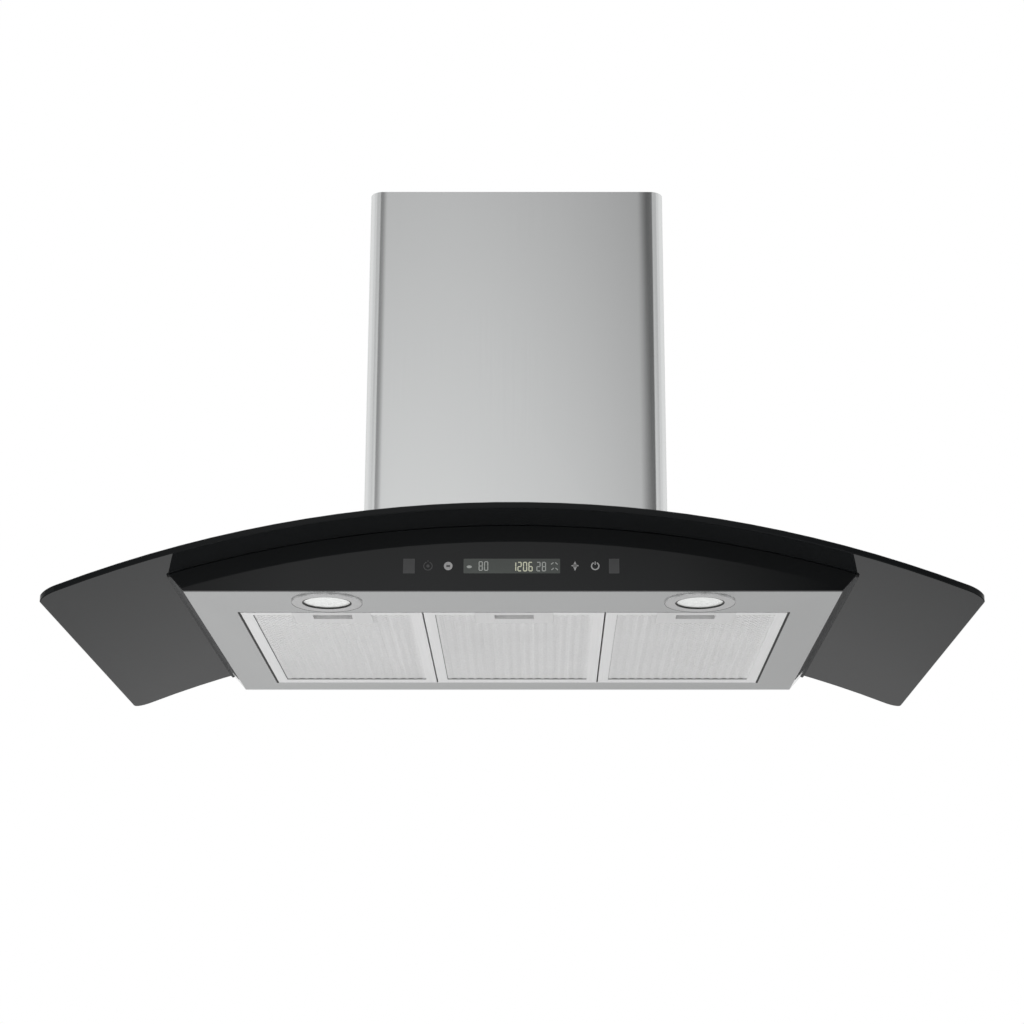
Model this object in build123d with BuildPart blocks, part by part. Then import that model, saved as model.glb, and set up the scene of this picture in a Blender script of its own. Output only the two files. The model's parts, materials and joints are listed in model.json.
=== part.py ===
from build123d import *
import os
from math import cos, radians, sin, sqrt

# Wall hood with an arched glass canopy. Millimetres, +Z up, -Y to the room.
# The origin lies on the wall plane, in the middle, level with the underside of the steel body.

os.makedirs("parts", exist_ok=True)

# ---- driving sizes: canopy ----
glass_width = 900
glass_depth = 516
glass_thickness = 6
glass_radius = 1178  # top face of the arch
glass_crown = 72.6  # top of the arch above the underside of the body
glass_corner = 18
glass_wall_gap = 1
glass_edge_bevel = 0.8
gasket_thickness = 1.5
gasket_width = 12
edge_inset = 1  # gasket and liner stop short of the flared sides

# ---- driving sizes: canopy clamps ----
notch_room = 8  # between the blower box and the notch in the glass
clamp_out = 16  # from the blower box to the screws
clamp_front_inset = 45
clamp_rear_inset = 60
clamp_radius = 3
clamp_fit = 0.2
clamp_hole_room = 1
liner_hole_room = 0.5
clamp_head_radius = 5
clamp_head_height = 2.6
clamp_tail = 4  # shank below the nuts
washer_half = 6
washer_thickness = 1
nut_radius = 5
nut_height = 4

# ---- driving sizes: steel body ----
body_depth = 458
body_bottom_width = 643.4
side_lean = 0.895  # sideways run of the flared side walls for each millimetre of rise
sheet = 1.0
fascia_thickness = 4
fascia_gap = 0.3
hem_thickness = 2.0
hem_width = 5

# ---- driving sizes: filters ----
opening_width = 557.4
opening_depth = 333.5
opening_setback = 86.5  # from the front of the fascia to the front of the opening
filter_count = 3
filter_gap = 1.6
filter_side_gap = 1.1
filter_thickness = 9
frame_side = 11.5
frame_front = 9
frame_rear = 15
mesh_recess = 1.5
mesh_thickness = 4
mesh_grip = 5
pleat_pitch = 9.7
pleat_depth = 0.8
latch_block_width = 80
latch_block_depth = 36
latch_block_inset = 0.5
pocket_width = 40
finger_room = 7.2
pocket_wall = 1.2
pocket_roof = 1.5
latch_travel = 6
latch_reach = 4
latch_fit = 0.3
pull_thickness = 4
tongue_width = 28
tongue_thickness = 2
tongue_lead = 1
tab_width = 14
tab_spacing = 110
tab_thickness = 1.4
tab_reach = 8
swing_gap = 0.3

# ---- driving sizes: lamps ----
lamp_spacing = 371
lamp_setback = 44
lamp_bezel_radius = 35.3
lamp_window_radius = 24.15
lamp_bezel_height = 1.5
lamp_body_radius = 30
lamp_body_height = 20
lamp_wall = 1.5
lamp_fit = 0.5
lamp_fin_count = 5
lens_thickness = 2
lamp_board_level = 7
led_count = 6
led_size = 3
led_height = 0.8
spring_leaf = 0.6
spring_width = 10
spring_shoulder = 2
spring_reach = 9

# ---- driving sizes: controls ----
control_height = 25
board_width = 216
board_height = 22
board_thickness = 1.6
pad_height = 4
pad_half = 4
pad_offsets = (-85.4, -65.6, 61.7, 82.1)
display_width = 94
display_height = 14
display_corner = 1
chip_places = (-60, 20, 70)
chip_length = 12
chip_width = 9
chip_height = 3
window_room = 2
cover_wall = 1.5
cover_depth = 12
cover_side_lap = 6
cover_end_lap = 5

# ---- driving sizes: lamp driver and power supply ----
supply_setback = 24  # from the front of the body
supply_corner = 3
driver_x = -95
driver_length = 90
driver_width = 30
driver_height = 20
power_x = 80
power_length = 120
power_width = 40
power_height = 30

# ---- driving sizes: blower ----
box_width = 280
box_depth = 243
box_top = 290
box_wall = 1.2
box_wall_gap = 1.5
flange_width = 22
flange_thickness = 1.2
scroll_step = 8
scroll_width = 130
scroll_wall = 2.5
scroll_side_gap = 1.3
scroll_bottom_clearance = 6
inlet_step = 10  # wheel radius less inlet radius
inlet_lip = 4
guard_thickness = 2
guard_ring = 4
guard_bar = 3
wheel_room = 12  # between the wheel and the tightest part of the scroll
wheel_blade_depth = 13
wheel_ring_lip = 1
wheel_length = 118
blade_count = 28
blade_thickness = 1.2
blade_sweep = 11
blade_bend = 0.3  # share of the sweep reached halfway out
blade_tip_inset = 1
wheel_disc = 3
hub_radius = 10
hub_length = 12
shaft_radius = 4
shaft_clearance = 0.05
shaft_end_gap = 2
motor_radius = 42
motor_length = 58
motor_edge = 4
motor_disc_gap = 4
bracket_thickness = 2.5
bracket_rim = 8
bracket_arm = 12
foot_step = 8  # outside the inlet
foot_angles = (90, 210, 330)
motor_screw_radius = 2
motor_screw_head = 4
motor_screw_head_height = 2.4

# ---- driving sizes: outlet ----
spigot_radius = 75
spigot_wall = 2
spigot_height = 50
spigot_flange = 12
spigot_flange_thickness = 2.5
ledge_width = 2.5
ledge_thickness = 2
ledge_break = 1  # each side of the knuckles
flap_thickness = 1.6
flap_gap = 0.6
flap_root_gap = 0.5
flap_level = 22  # hinge rod above the top of the blower box
rod_radius = 2
rod_inset = 0.5
rod_clearance = 0.05
knuckle_radius = 3.6
knuckle_length = 20
knuckle_gap = 1

# ---- driving sizes: mains connection and run capacitor ----
terminal_gap = 5  # from the outlet collar
terminal_inset = 4  # from the side of the blower box
terminal_length = 120
terminal_wall = 2
terminal_height = 32
terminal_corner = 4
gland_rise = 2
gland_bore = 4.2
gland_thread = 8
gland_hex = 11
gland_nut = 3
gland_collar = 6
gland_dome = 9.5
gland_dome_length = 11
gland_dome_edge = 3
capacitor_radius = 18
capacitor_height = 70
capacitor_edge = 2
capacitor_gap = 2
capacitor_offset = 50  # behind the middle of the blower box
capacitor_z = 150
tag_spacing = 10
tag_thickness = 1
tag_width = 6
tag_height = 7
clip_thickness = 1.2
clip_rise = 25
clip_height = 20

# ---- driving sizes: chimney ----
chimney_side_room = 25  # each side of the blower box
chimney_front_room = 19.5
chimney_top = 517
chimney_corner = 15
chimney_sheet = 1.0
chimney_return = 15
chimney_slide_gap = 1.5
chimney_back_gap = 0.3
chimney_screw_height = 92
chimney_screw_radius = 2
chimney_screw_head = 4
chimney_screw_head_height = 1.8
chimney_screw_grip = 4.5
seal_thickness = 1.5
seal_step = 2  # from the chimney's lowest corner to the seal
upper_bottom = 105
upper_top_gap = 5
louvre_count = 6
louvre_length = 130
louvre_pitch = 11
louvre_height = 4
louvre_drop = 30
bracket_low = 80
bracket_sheet = 1.5
bracket_half = 12
bracket_wing = 18

# ---- driving sizes: wall fixings ----
screw_line_spacing = 220
safety_screw_height = 95
keyhole_height = 246
screw_hole_radius = 3
keyhole_head_radius = 5.5
keyhole_rise = 12
slot_spacing = 180
slot_length = 16
slot_radius = 2.75
strip_height = 24
strip_thickness = 1.2
strip_drop = 14
strip_room = 6
arm_gap = 3
arm_length = 34

# ---- places worked out from the sizes above ----
overrun = 5  # how far cutting shapes run past the piece
trim_depth = 200  # taller than anything cut by a plan outline
arch_z = glass_crown - glass_radius
under_radius = glass_radius - glass_thickness
gasket_radius = under_radius - gasket_thickness
liner_radius = gasket_radius - sheet
body_front = -body_depth
shell_front = body_front + fascia_thickness
glass_back = -glass_wall_gap
opening_front = body_front + opening_setback
opening_back = opening_front + opening_depth
box_back = -box_wall_gap
box_front = box_back - box_depth
box_half = box_width / 2
outlet_y = (box_front + box_back) / 2
chimney_half = box_half + chimney_side_room
chimney_depth = box_wall_gap + box_depth + chimney_front_room
chimney_front = -chimney_depth
upper_half = chimney_half - chimney_sheet - chimney_slide_gap
upper_front = chimney_front + chimney_sheet + chimney_slide_gap
upper_back = -chimney_sheet - chimney_back_gap
upper_top = chimney_top - upper_top_gap


def arch_height(radius, x):
    return arch_z + sqrt(radius**2 - x**2)


def side_half(z):
    return body_bottom_width / 2 + side_lean * z


# The left end, crown and right end of an arch.
def arch_points(radius, half):
    end = arch_height(radius, half)
    return (-half, end), (0, arch_height(radius, 0)), (half, end)


# A curved strip between two arch radii, drawn square to Y at the given Y.
def arch_band(y, outer, inner, half):
    with BuildSketch(Plane.XZ.offset(-y)) as band:
        with BuildLine():
            upper = ThreePointArc(*arch_points(outer, half))
            lower = ThreePointArc(*arch_points(inner, half))
            Line(upper @ 0, lower @ 0)
            Line(upper @ 1, lower @ 1)
        make_face()
    return band.sketch


# Everything under an arch radius, down to a floor level.
def below_arch(y, radius, half, floor):
    with BuildSketch(Plane.XZ.offset(-y)) as region:
        with BuildLine():
            edge = ThreePointArc(*arch_points(radius, half))
            Polyline(edge @ 0, (-half, floor), (half, floor), edge @ 1)
        make_face()
    return region.sketch


# The body's cross-section: flat underside, flared sides and an arched top.
def body_section(y, radius, thickness=0.0, floor=0.0):
    inset = thickness * sqrt(1 + side_lean**2)
    rise = floor
    for _ in range(8):
        rise = arch_height(radius, side_half(rise) - inset)
    low = side_half(floor) - inset
    high = side_half(rise) - inset
    with BuildSketch(Plane.XZ.offset(-y)) as section:
        with BuildLine():
            Polyline((-high, rise), (-low, floor), (low, floor), (high, rise))
            ThreePointArc((high, rise), (0, arch_height(radius, 0)), (-high, rise))
        make_face()
    return section.sketch


# A rectangle on a level plane, given by its X half width and its two Y limits.
def level_rectangle(z, half, y_low, y_high):
    with BuildSketch(Plane.XY.offset(z)) as sketch:
        with Locations((0, (y_low + y_high) / 2)):
            Rectangle(2 * half, y_high - y_low)
    return sketch.sketch


# A box between two limits on each axis, added to or cut from the part being built.
def block(x_low, x_high, y_low, y_high, z_low, z_high, mode=Mode.ADD):
    with Locations(((x_low + x_high) / 2, (y_low + y_high) / 2, (z_low + z_high) / 2)):
        Box(x_high - x_low, y_high - y_low, z_high - z_low, mode=mode)


# ======== canopy ========
notch_half = box_half + notch_room
notch_front = box_front - notch_room
clamp_x = box_half + clamp_out
clamp_ys = (box_front + clamp_front_inset, box_back - clamp_rear_inset)
clamp_points = [(side * clamp_x, y) for side in (-1, 1) for y in clamp_ys]

with BuildPart() as glass_canopy:
    rough_half = glass_width / 2 + overrun
    extrude(arch_band(glass_back, glass_radius, under_radius, rough_half), amount=glass_depth)
    with BuildSketch(Plane.XY.offset(-trim_depth)):
        with Locations((0, glass_back - glass_depth / 2)):
            RectangleRounded(glass_width, glass_depth, glass_corner)
        with Locations((0, (notch_front + glass_back) / 2)):
            Rectangle(2 * notch_half, glass_back - notch_front, mode=Mode.SUBTRACT)
        with Locations(*clamp_points):
            Circle(clamp_radius + clamp_hole_room, mode=Mode.SUBTRACT)
    extrude(amount=2 * trim_depth, mode=Mode.INTERSECT)
    front_face = glass_canopy.faces().filter_by(Axis.Y).sort_by(Axis.Y)[0]
    chamfer(front_face.edges().filter_by(GeomType.CIRCLE), glass_edge_bevel)
glass_canopy.part.label = "glass_canopy"
export_step(glass_canopy.part, "parts/glass_canopy.step")

# Rubber strip round the top of the body and round the notch for the blower box.
gasket_half = side_half(arch_height(gasket_radius, body_bottom_width / 2)) - edge_inset
ring_front = notch_front - gasket_width
with BuildPart() as canopy_gasket:
    body_run = glass_back - shell_front
    extrude(arch_band(glass_back, under_radius, gasket_radius, gasket_half), amount=body_run)
    hollow_half = gasket_half - gasket_width
    extrude(
        level_rectangle(0, hollow_half, shell_front + gasket_width, glass_back - gasket_width),
        amount=trim_depth,
        mode=Mode.SUBTRACT,
    )
    extrude(
        arch_band(glass_back, under_radius, gasket_radius, notch_half + 2 * (clamp_x - notch_half)),
        amount=glass_back - ring_front,
    )
    extrude(level_rectangle(0, notch_half, notch_front, 0), amount=trim_depth, mode=Mode.SUBTRACT)
    with BuildSketch(Plane.XY):
        with Locations(*clamp_points):
            Circle(clamp_radius + clamp_hole_room)
    extrude(amount=trim_depth, mode=Mode.SUBTRACT)
canopy_gasket.part.label = "canopy_gasket"
export_step(canopy_gasket.part, "parts/canopy_gasket.step")

# ======== steel body ========
lamp_points = [(side * lamp_spacing / 2, body_front + lamp_setback) for side in (-1, 1)]
window_half = board_width / 2 + window_room
window_height = board_height + 2 * window_room
opening_half = opening_width / 2
opening_middle = (opening_front + opening_back) / 2

with BuildPart() as body_shell:
    extrude(body_section(0, liner_radius), amount=-shell_front)
    extrude(
        body_section(-sheet, liner_radius + overrun, sheet, sheet),
        amount=-shell_front - 2 * sheet,
        mode=Mode.SUBTRACT,
    )
    # folded hem round the filter opening, its nose rounded
    with BuildSketch(Plane.XY):
        with Locations((0, opening_middle)):
            Rectangle(opening_width + 2 * hem_width, opening_depth + 2 * hem_width)
    extrude(amount=hem_thickness)
    nose = hem_thickness / 2
    with BuildSketch(Plane.XY):
        with Locations((0, opening_middle)):
            Rectangle(opening_width + 2 * nose, opening_depth + 2 * nose)
        with Locations(*lamp_points):
            Circle(lamp_body_radius + lamp_fit)
    extrude(amount=hem_thickness, mode=Mode.SUBTRACT)
    for side_y in (opening_front - nose, opening_back + nose):
        with Locations(Location((0, side_y, nose), (0, 90, 0))):
            Cylinder(nose, opening_width + 2 * nose)
    for side_x in (-opening_half - nose, opening_half + nose):
        with Locations(Location((side_x, opening_middle, nose), (90, 0, 0))):
            Cylinder(nose, opening_depth + 2 * nose)
    # window in the front wall for the control board
    with BuildSketch(Plane.XZ.offset(-shell_front)):
        with Locations((0, control_height)):
            Rectangle(2 * window_half, window_height)
    extrude(amount=-2 * sheet, mode=Mode.SUBTRACT)
body_shell.part.label = "body_shell"
export_step(body_shell.part, "parts/body_shell.step")

liner_half = side_half(arch_height(liner_radius, body_bottom_width / 2)) - edge_inset
with BuildPart() as canopy_liner:
    extrude(arch_band(glass_back, gasket_radius, liner_radius, liner_half), amount=body_run)
    extrude(level_rectangle(0, box_half, box_front, 0), amount=trim_depth, mode=Mode.SUBTRACT)
    with BuildSketch(Plane.XY):
        with Locations(*clamp_points):
            Circle(clamp_radius + liner_hole_room)
    extrude(amount=trim_depth, mode=Mode.SUBTRACT)
canopy_liner.part.label = "canopy_liner"
export_step(canopy_liner.part, "parts/canopy_liner.step")

# Upright sheet that parts the lamp and control bay from the filter bay.
partition_y = opening_front - hem_width - latch_reach
with BuildPart() as front_partition:
    extrude(body_section(partition_y, liner_radius, sheet, sheet), amount=sheet)
front_partition.part.label = "front_partition"
export_step(front_partition.part, "parts/front_partition.step")

# ======== control fascia ========
with BuildPart() as control_fascia:
    extrude(body_section(shell_front, under_radius - fascia_gap), amount=fascia_thickness)
control_fascia.part.label = "control_fascia"
export_step(control_fascia.part, "parts/control_fascia.step")

board_front = shell_front + pad_height
with BuildPart() as touch_pads:
    with BuildSketch(Plane.XZ.offset(-board_front)):
        with Locations(*[(x, control_height) for x in pad_offsets]):
            Rectangle(2 * pad_half, 2 * pad_half)
    extrude(amount=pad_height)
touch_pads.part.label = "touch_pads"
export_step(touch_pads.part, "parts/touch_pads.step")

with BuildPart() as display_module:
    with BuildSketch(Plane.XZ.offset(-board_front)):
        with Locations((0, control_height)):
            RectangleRounded(display_width, display_height, display_corner)
    extrude(amount=pad_height)
display_module.part.label = "display_module"
export_step(display_module.part, "parts/display_module.step")

with BuildPart() as control_board:
    with BuildSketch(Plane.XZ.offset(-(board_front + board_thickness))):
        with Locations((0, control_height)):
            Rectangle(board_width, board_height)
    extrude(amount=board_thickness)
    with BuildSketch(Plane.XZ.offset(-(board_front + board_thickness + chip_height))):
        with Locations(*[(x, control_height) for x in chip_places]):
            Rectangle(chip_length, chip_width)
    extrude(amount=chip_height)
control_board.part.label = "control_board"
export_step(control_board.part, "parts/control_board.step")

cover_front = shell_front + sheet
cover_length = 2 * (window_half + cover_side_lap)
cover_height = window_height + 2 * cover_end_lap
with BuildPart() as control_cover:
    with BuildSketch(Plane.XZ.offset(-(cover_front + cover_depth))):
        with Locations((0, control_height)):
            Rectangle(cover_length, cover_height)
    extrude(amount=cover_depth)
    with BuildSketch(Plane.XZ.offset(-(cover_front + cover_depth - cover_wall))):
        with Locations((0, control_height)):
            Rectangle(cover_length - 2 * cover_wall, cover_height - 2 * cover_wall)
    extrude(amount=cover_depth, mode=Mode.SUBTRACT)
control_cover.part.label = "control_cover"
export_step(control_cover.part, "parts/control_cover.step")

# ======== lamps ========
for side, (lamp_x, lamp_y) in zip(("left", "right"), lamp_points):
    with BuildPart() as lamp_bezel:
        with BuildSketch(Plane.XY.offset(-lamp_bezel_height)):
            with Locations((lamp_x, lamp_y)):
                Circle(lamp_bezel_radius)
                Circle(lamp_window_radius, mode=Mode.SUBTRACT)
        extrude(amount=lamp_bezel_height)
        rim = lamp_bezel.edges().filter_by(GeomType.CIRCLE).group_by(Axis.Z)[0]
        chamfer(rim, lamp_bezel_height / 2)
        with BuildSketch(Plane.XY):
            with Locations((lamp_x, lamp_y)):
                Circle(lamp_body_radius)
                Circle(lamp_body_radius - lamp_wall, mode=Mode.SUBTRACT)
        extrude(amount=lens_thickness)
    lamp_bezel.part.label = f"lamp_bezel_{side}"
    export_step(lamp_bezel.part, f"parts/lamp_bezel_{side}.step")

    with BuildPart() as lamp_lens:
        with BuildSketch(Plane.XY):
            with Locations((lamp_x, lamp_y)):
                Circle(lamp_body_radius - lamp_wall)
        extrude(amount=lens_thickness)
    lamp_lens.part.label = f"lamp_lens_{side}"
    export_step(lamp_lens.part, f"parts/lamp_lens_{side}.step")

    # heat sink cup, with its own fins and a shoulder that carries the spring clips
    with BuildPart() as lamp_housing:
        with BuildSketch(Plane.XY.offset(lens_thickness)):
            with Locations((lamp_x, lamp_y)):
                Circle(lamp_body_radius)
        extrude(amount=lamp_body_height - lens_thickness)
        with BuildSketch(Plane.XY.offset(lens_thickness)):
            with Locations((lamp_x, lamp_y)):
                Circle(lamp_body_radius - lamp_wall)
        extrude(amount=lamp_board_level - lens_thickness, mode=Mode.SUBTRACT)
        fin_pitch = 2 * lamp_body_radius / lamp_fin_count
        with BuildSketch(Plane.XY.offset(lamp_body_height)):
            with Locations((lamp_x, lamp_y)):
                with GridLocations(fin_pitch, 1, lamp_fin_count - 1, 1):
                    Rectangle(fin_pitch / 2, 2 * lamp_body_radius)
        extrude(amount=-lamp_body_height / 3, mode=Mode.SUBTRACT)
    lamp_housing.part.label = f"lamp_housing_{side}"
    export_step(lamp_housing.part, f"parts/lamp_housing_{side}.step")

    with BuildPart() as lamp_board:
        with BuildSketch(Plane.XY.offset(lamp_board_level - board_thickness)):
            with Locations((lamp_x, lamp_y)):
                Circle(lamp_body_radius - lamp_wall - lamp_fit)
        extrude(amount=board_thickness)
        with BuildSketch(Plane.XY.offset(lamp_board_level - board_thickness)):
            with Locations((lamp_x, lamp_y)):
                with PolarLocations(lamp_window_radius / 2, led_count):
                    Rectangle(led_size, led_size)
        extrude(amount=-led_height)
    lamp_board.part.label = f"lamp_board_{side}"
    export_step(lamp_board.part, f"parts/lamp_board_{side}.step")

    # two leaf springs that clamp the steel sheet against the bezel
    with BuildPart() as lamp_springs:
        for turn in (-1, 1):
            foot = lamp_x + turn * lamp_body_radius
            with BuildSketch(Plane.XZ.offset(-(lamp_y + spring_width / 2))):
                with BuildLine():
                    Polyline(
                        (foot, lamp_body_height / 2),
                        (foot + turn * spring_shoulder, lamp_body_height / 2),
                        (foot + turn * spring_reach, sheet),
                        (foot + turn * (spring_reach + spring_leaf), sheet),
                        (foot + turn * (spring_shoulder + spring_leaf), lamp_body_height / 2 + spring_leaf),
                        (foot, lamp_body_height / 2 + spring_leaf),
                        close=True,
                    )
                make_face()
            extrude(amount=spring_width)
    lamp_springs.part.label = f"lamp_springs_{side}"
    export_step(lamp_springs.part, f"parts/lamp_springs_{side}.step")

supply_front = body_front + supply_setback
with BuildPart() as lamp_driver:
    with BuildSketch(Plane.XY.offset(sheet)):
        with Locations((driver_x, supply_front + driver_width / 2)):
            RectangleRounded(driver_length, driver_width, supply_corner)
    extrude(amount=driver_height)
lamp_driver.part.label = "lamp_driver"
export_step(lamp_driver.part, "parts/lamp_driver.step")

with BuildPart() as power_unit:
    with BuildSketch(Plane.XY.offset(sheet)):
        with Locations((power_x, supply_front + power_width / 2)):
            RectangleRounded(power_length, power_width, supply_corner)
    extrude(amount=power_height)
power_unit.part.label = "power_unit"
export_step(power_unit.part, "parts/power_unit.step")

# ======== grease filters ========
frame_y_front = opening_front + filter_gap
frame_y_back = opening_back - filter_gap
mesh_low = mesh_recess
mesh_high = mesh_low + mesh_thickness
pocket_top = filter_thickness - pocket_roof
window_y_low = frame_y_front + frame_front
window_y_high = frame_y_back - frame_rear
pocket_front = window_y_low + pocket_wall
pocket_back = pocket_front + latch_fit + pull_thickness + latch_travel + finger_room
block_back = window_y_low + latch_block_depth
tongue_low = hem_thickness + latch_fit
tongue_tip = opening_front - latch_reach
hinge_y = opening_back + hem_thickness / 2
hinge_z = hem_thickness / 2
cradle = hem_thickness / 2 + swing_gap
filter_room = opening_width - 2 * filter_side_gap - (filter_count - 1) * filter_gap
filter_width = filter_room / filter_count
filter_pitch = filter_width + filter_gap

for index, side in enumerate(("left", "centre", "right")[:filter_count]):
    filter_x = (index - (filter_count - 1) / 2) * filter_pitch
    half = filter_width / 2
    window_half_x = half - frame_side

    with BuildPart() as filter_frame:
        block(filter_x - half, filter_x + half, frame_y_front, frame_y_back, 0, filter_thickness)
        block(
            filter_x - window_half_x,
            filter_x + window_half_x,
            window_y_low,
            window_y_high,
            -overrun,
            filter_thickness + overrun,
            mode=Mode.SUBTRACT,
        )
        # channel that grips the mesh all round
        block(
            filter_x - window_half_x - mesh_grip,
            filter_x + window_half_x + mesh_grip,
            window_y_low - mesh_grip,
            window_y_high + mesh_grip,
            mesh_low,
            mesh_high,
            mode=Mode.SUBTRACT,
        )
        # latch housing with its finger pocket, open below
        block(
            filter_x - latch_block_width / 2,
            filter_x + latch_block_width / 2,
            frame_y_front,
            block_back,
            latch_block_inset,
            filter_thickness - latch_block_inset,
        )
        block(
            filter_x - pocket_width / 2,
            filter_x + pocket_width / 2,
            pocket_front,
            pocket_back,
            -overrun,
            pocket_top,
            mode=Mode.SUBTRACT,
        )
        # slot that the tongue slides in
        block(
            filter_x - tongue_width / 2 - latch_fit,
            filter_x + tongue_width / 2 + latch_fit,
            frame_y_front - overrun,
            pocket_front + overrun,
            tongue_low - latch_fit,
            tongue_low + tongue_thickness + latch_fit,
            mode=Mode.SUBTRACT,
        )
        # two rear tabs that rock on the rounded hem of the opening
        for tab_x in (filter_x - tab_spacing / 2, filter_x + tab_spacing / 2):
            with BuildSketch(Plane.YZ.offset(tab_x - tab_width / 2)):
                with BuildLine():
                    Polyline(
                        (hinge_y, hinge_z + cradle),
                        (hinge_y + tab_reach, hinge_z + cradle),
                        (hinge_y + tab_reach, hinge_z + cradle + tab_thickness),
                        (frame_y_back, hinge_z + cradle + tab_thickness),
                        (frame_y_back, hinge_z),
                        (hinge_y - cradle, hinge_z),
                    )
                    RadiusArc((hinge_y - cradle, hinge_z), (hinge_y, hinge_z + cradle), cradle)
                make_face()
            extrude(amount=tab_width)
    filter_frame.part.label = f"filter_frame_{side}"
    export_step(filter_frame.part, f"parts/filter_frame_{side}.step")

    # pleated pack of expanded mesh, notched round the latch housing
    pleats = int(2 * window_half_x / pleat_pitch)
    pleat_start = filter_x - pleats * pleat_pitch / 2
    mesh_left = filter_x - window_half_x - mesh_grip
    mesh_right = filter_x + window_half_x + mesh_grip
    lower_folds = [
        (pleat_start + fold * pleat_pitch / 2, mesh_low + pleat_depth * (fold % 2))
        for fold in range(2 * pleats + 1)
    ]
    upper_folds = [(x, mesh_high + mesh_low - z) for x, z in reversed(lower_folds)]
    with BuildPart() as filter_mesh:
        with BuildSketch(Plane.XZ.offset(-(window_y_high + mesh_grip))):
            with BuildLine():
                Polyline(
                    (mesh_left, mesh_low),
                    *lower_folds,
                    (mesh_right, mesh_low),
                    (mesh_right, mesh_high),
                    *upper_folds,
                    (mesh_left, mesh_high),
                    close=True,
                )
            make_face()
        extrude(amount=window_y_high - window_y_low + 2 * mesh_grip)
        block(
            filter_x - latch_block_width / 2,
            filter_x + latch_block_width / 2,
            frame_y_front,
            block_back,
            -overrun,
            filter_thickness + overrun,
            mode=Mode.SUBTRACT,
        )
    filter_mesh.part.label = f"filter_mesh_{side}"
    export_step(filter_mesh.part, f"parts/filter_mesh_{side}.step")

    # sliding finger latch: a pull in the pocket and a tongue over the front hem
    with BuildPart() as filter_latch:
        pull_half = pocket_width / 2 - latch_fit
        pull_front = pocket_front + latch_fit
        block(
            filter_x - pull_half,
            filter_x + pull_half,
            pull_front,
            pull_front + pull_thickness,
            mesh_low,
            pocket_top - latch_fit,
        )
        fillet(filter_latch.edges().filter_by(Axis.X).group_by(Axis.Z)[0], 1)
        block(
            filter_x - tongue_width / 2,
            filter_x + tongue_width / 2,
            tongue_tip,
            pull_front,
            tongue_low,
            tongue_low + tongue_thickness,
        )
        chamfer(filter_latch.edges().filter_by(Axis.X).group_by(Axis.Y)[0].group_by(Axis.Z)[0], tongue_lead)
    filter_latch.part.label = f"filter_latch_{side}"
    export_step(filter_latch.part, f"parts/filter_latch_{side}.step")

# ======== blower box ========
flange_radius = liner_radius - flange_thickness
with BuildPart() as motor_box:
    extrude(level_rectangle(0, box_half, box_front, box_back), amount=box_top)
    extrude(
        level_rectangle(0, box_half - box_wall, box_front + box_wall, box_back - box_wall),
        amount=box_top - box_wall,
        mode=Mode.SUBTRACT,
    )
    under_arch = below_arch(0, flange_radius, box_half + overrun, -overrun)
    extrude(under_arch, amount=glass_depth, mode=Mode.SUBTRACT)
    extrude(
        arch_band(box_back, liner_radius, flange_radius, box_half + flange_width),
        amount=box_back - box_front + flange_width,
    )
    extrude(
        level_rectangle(0, box_half - box_wall, box_front + box_wall, box_back - box_wall),
        amount=box_top - box_wall,
        mode=Mode.SUBTRACT,
    )
    with BuildSketch(Plane.XY):
        with Locations(*clamp_points):
            Circle(clamp_radius)
    extrude(amount=box_top, mode=Mode.SUBTRACT)
    with BuildSketch(Plane.XY.offset(box_top)):
        with Locations((0, outlet_y)):
            Circle(spigot_radius - spigot_wall)
    extrude(amount=-2 * box_wall, mode=Mode.SUBTRACT)
    # keyholes to hang by and round holes for the safety screws
    with BuildSketch(Plane.XZ.offset(box_wall_gap)):
        with GridLocations(screw_line_spacing, 1, 2, 1):
            with Locations((0, keyhole_height)):
                Circle(keyhole_head_radius)
            with Locations((0, keyhole_height + keyhole_rise / 2)):
                Rectangle(2 * screw_hole_radius, keyhole_rise)
            with Locations((0, keyhole_height + keyhole_rise)):
                Circle(screw_hole_radius)
            with Locations((0, safety_screw_height)):
                Circle(screw_hole_radius)
    extrude(amount=2 * box_wall, mode=Mode.SUBTRACT)
motor_box.part.label = "motor_box"
export_step(motor_box.part, "parts/motor_box.step")

# ======== volute ========
# Four-centre scroll: each quarter turn has a larger radius, its centre stepped so that the arcs
# stay tangent. Its mouth, one start radius and three steps wide, lies in the middle of the box.
scroll_room = box_half - box_wall - scroll_side_gap - scroll_wall
scroll_start = (scroll_room - 3 * scroll_step / 2) / 1.5
wheel_radius = scroll_start - wheel_room
inlet_radius = wheel_radius - inlet_step
foot_radius = inlet_radius + foot_step
wheel_x = -(scroll_start + 3 * scroll_step) / 2
scroll_base = arch_height(liner_radius, 0) + scroll_bottom_clearance
wheel_z = scroll_base + scroll_wall + scroll_start + scroll_step
scroll_front = outlet_y - scroll_width / 2
scroll_rear = outlet_y + scroll_width / 2


def blower_plane(y):
    return Plane(origin=(wheel_x, y, wheel_z), x_dir=(1, 0, 0), z_dir=(0, -1, 0))


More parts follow.
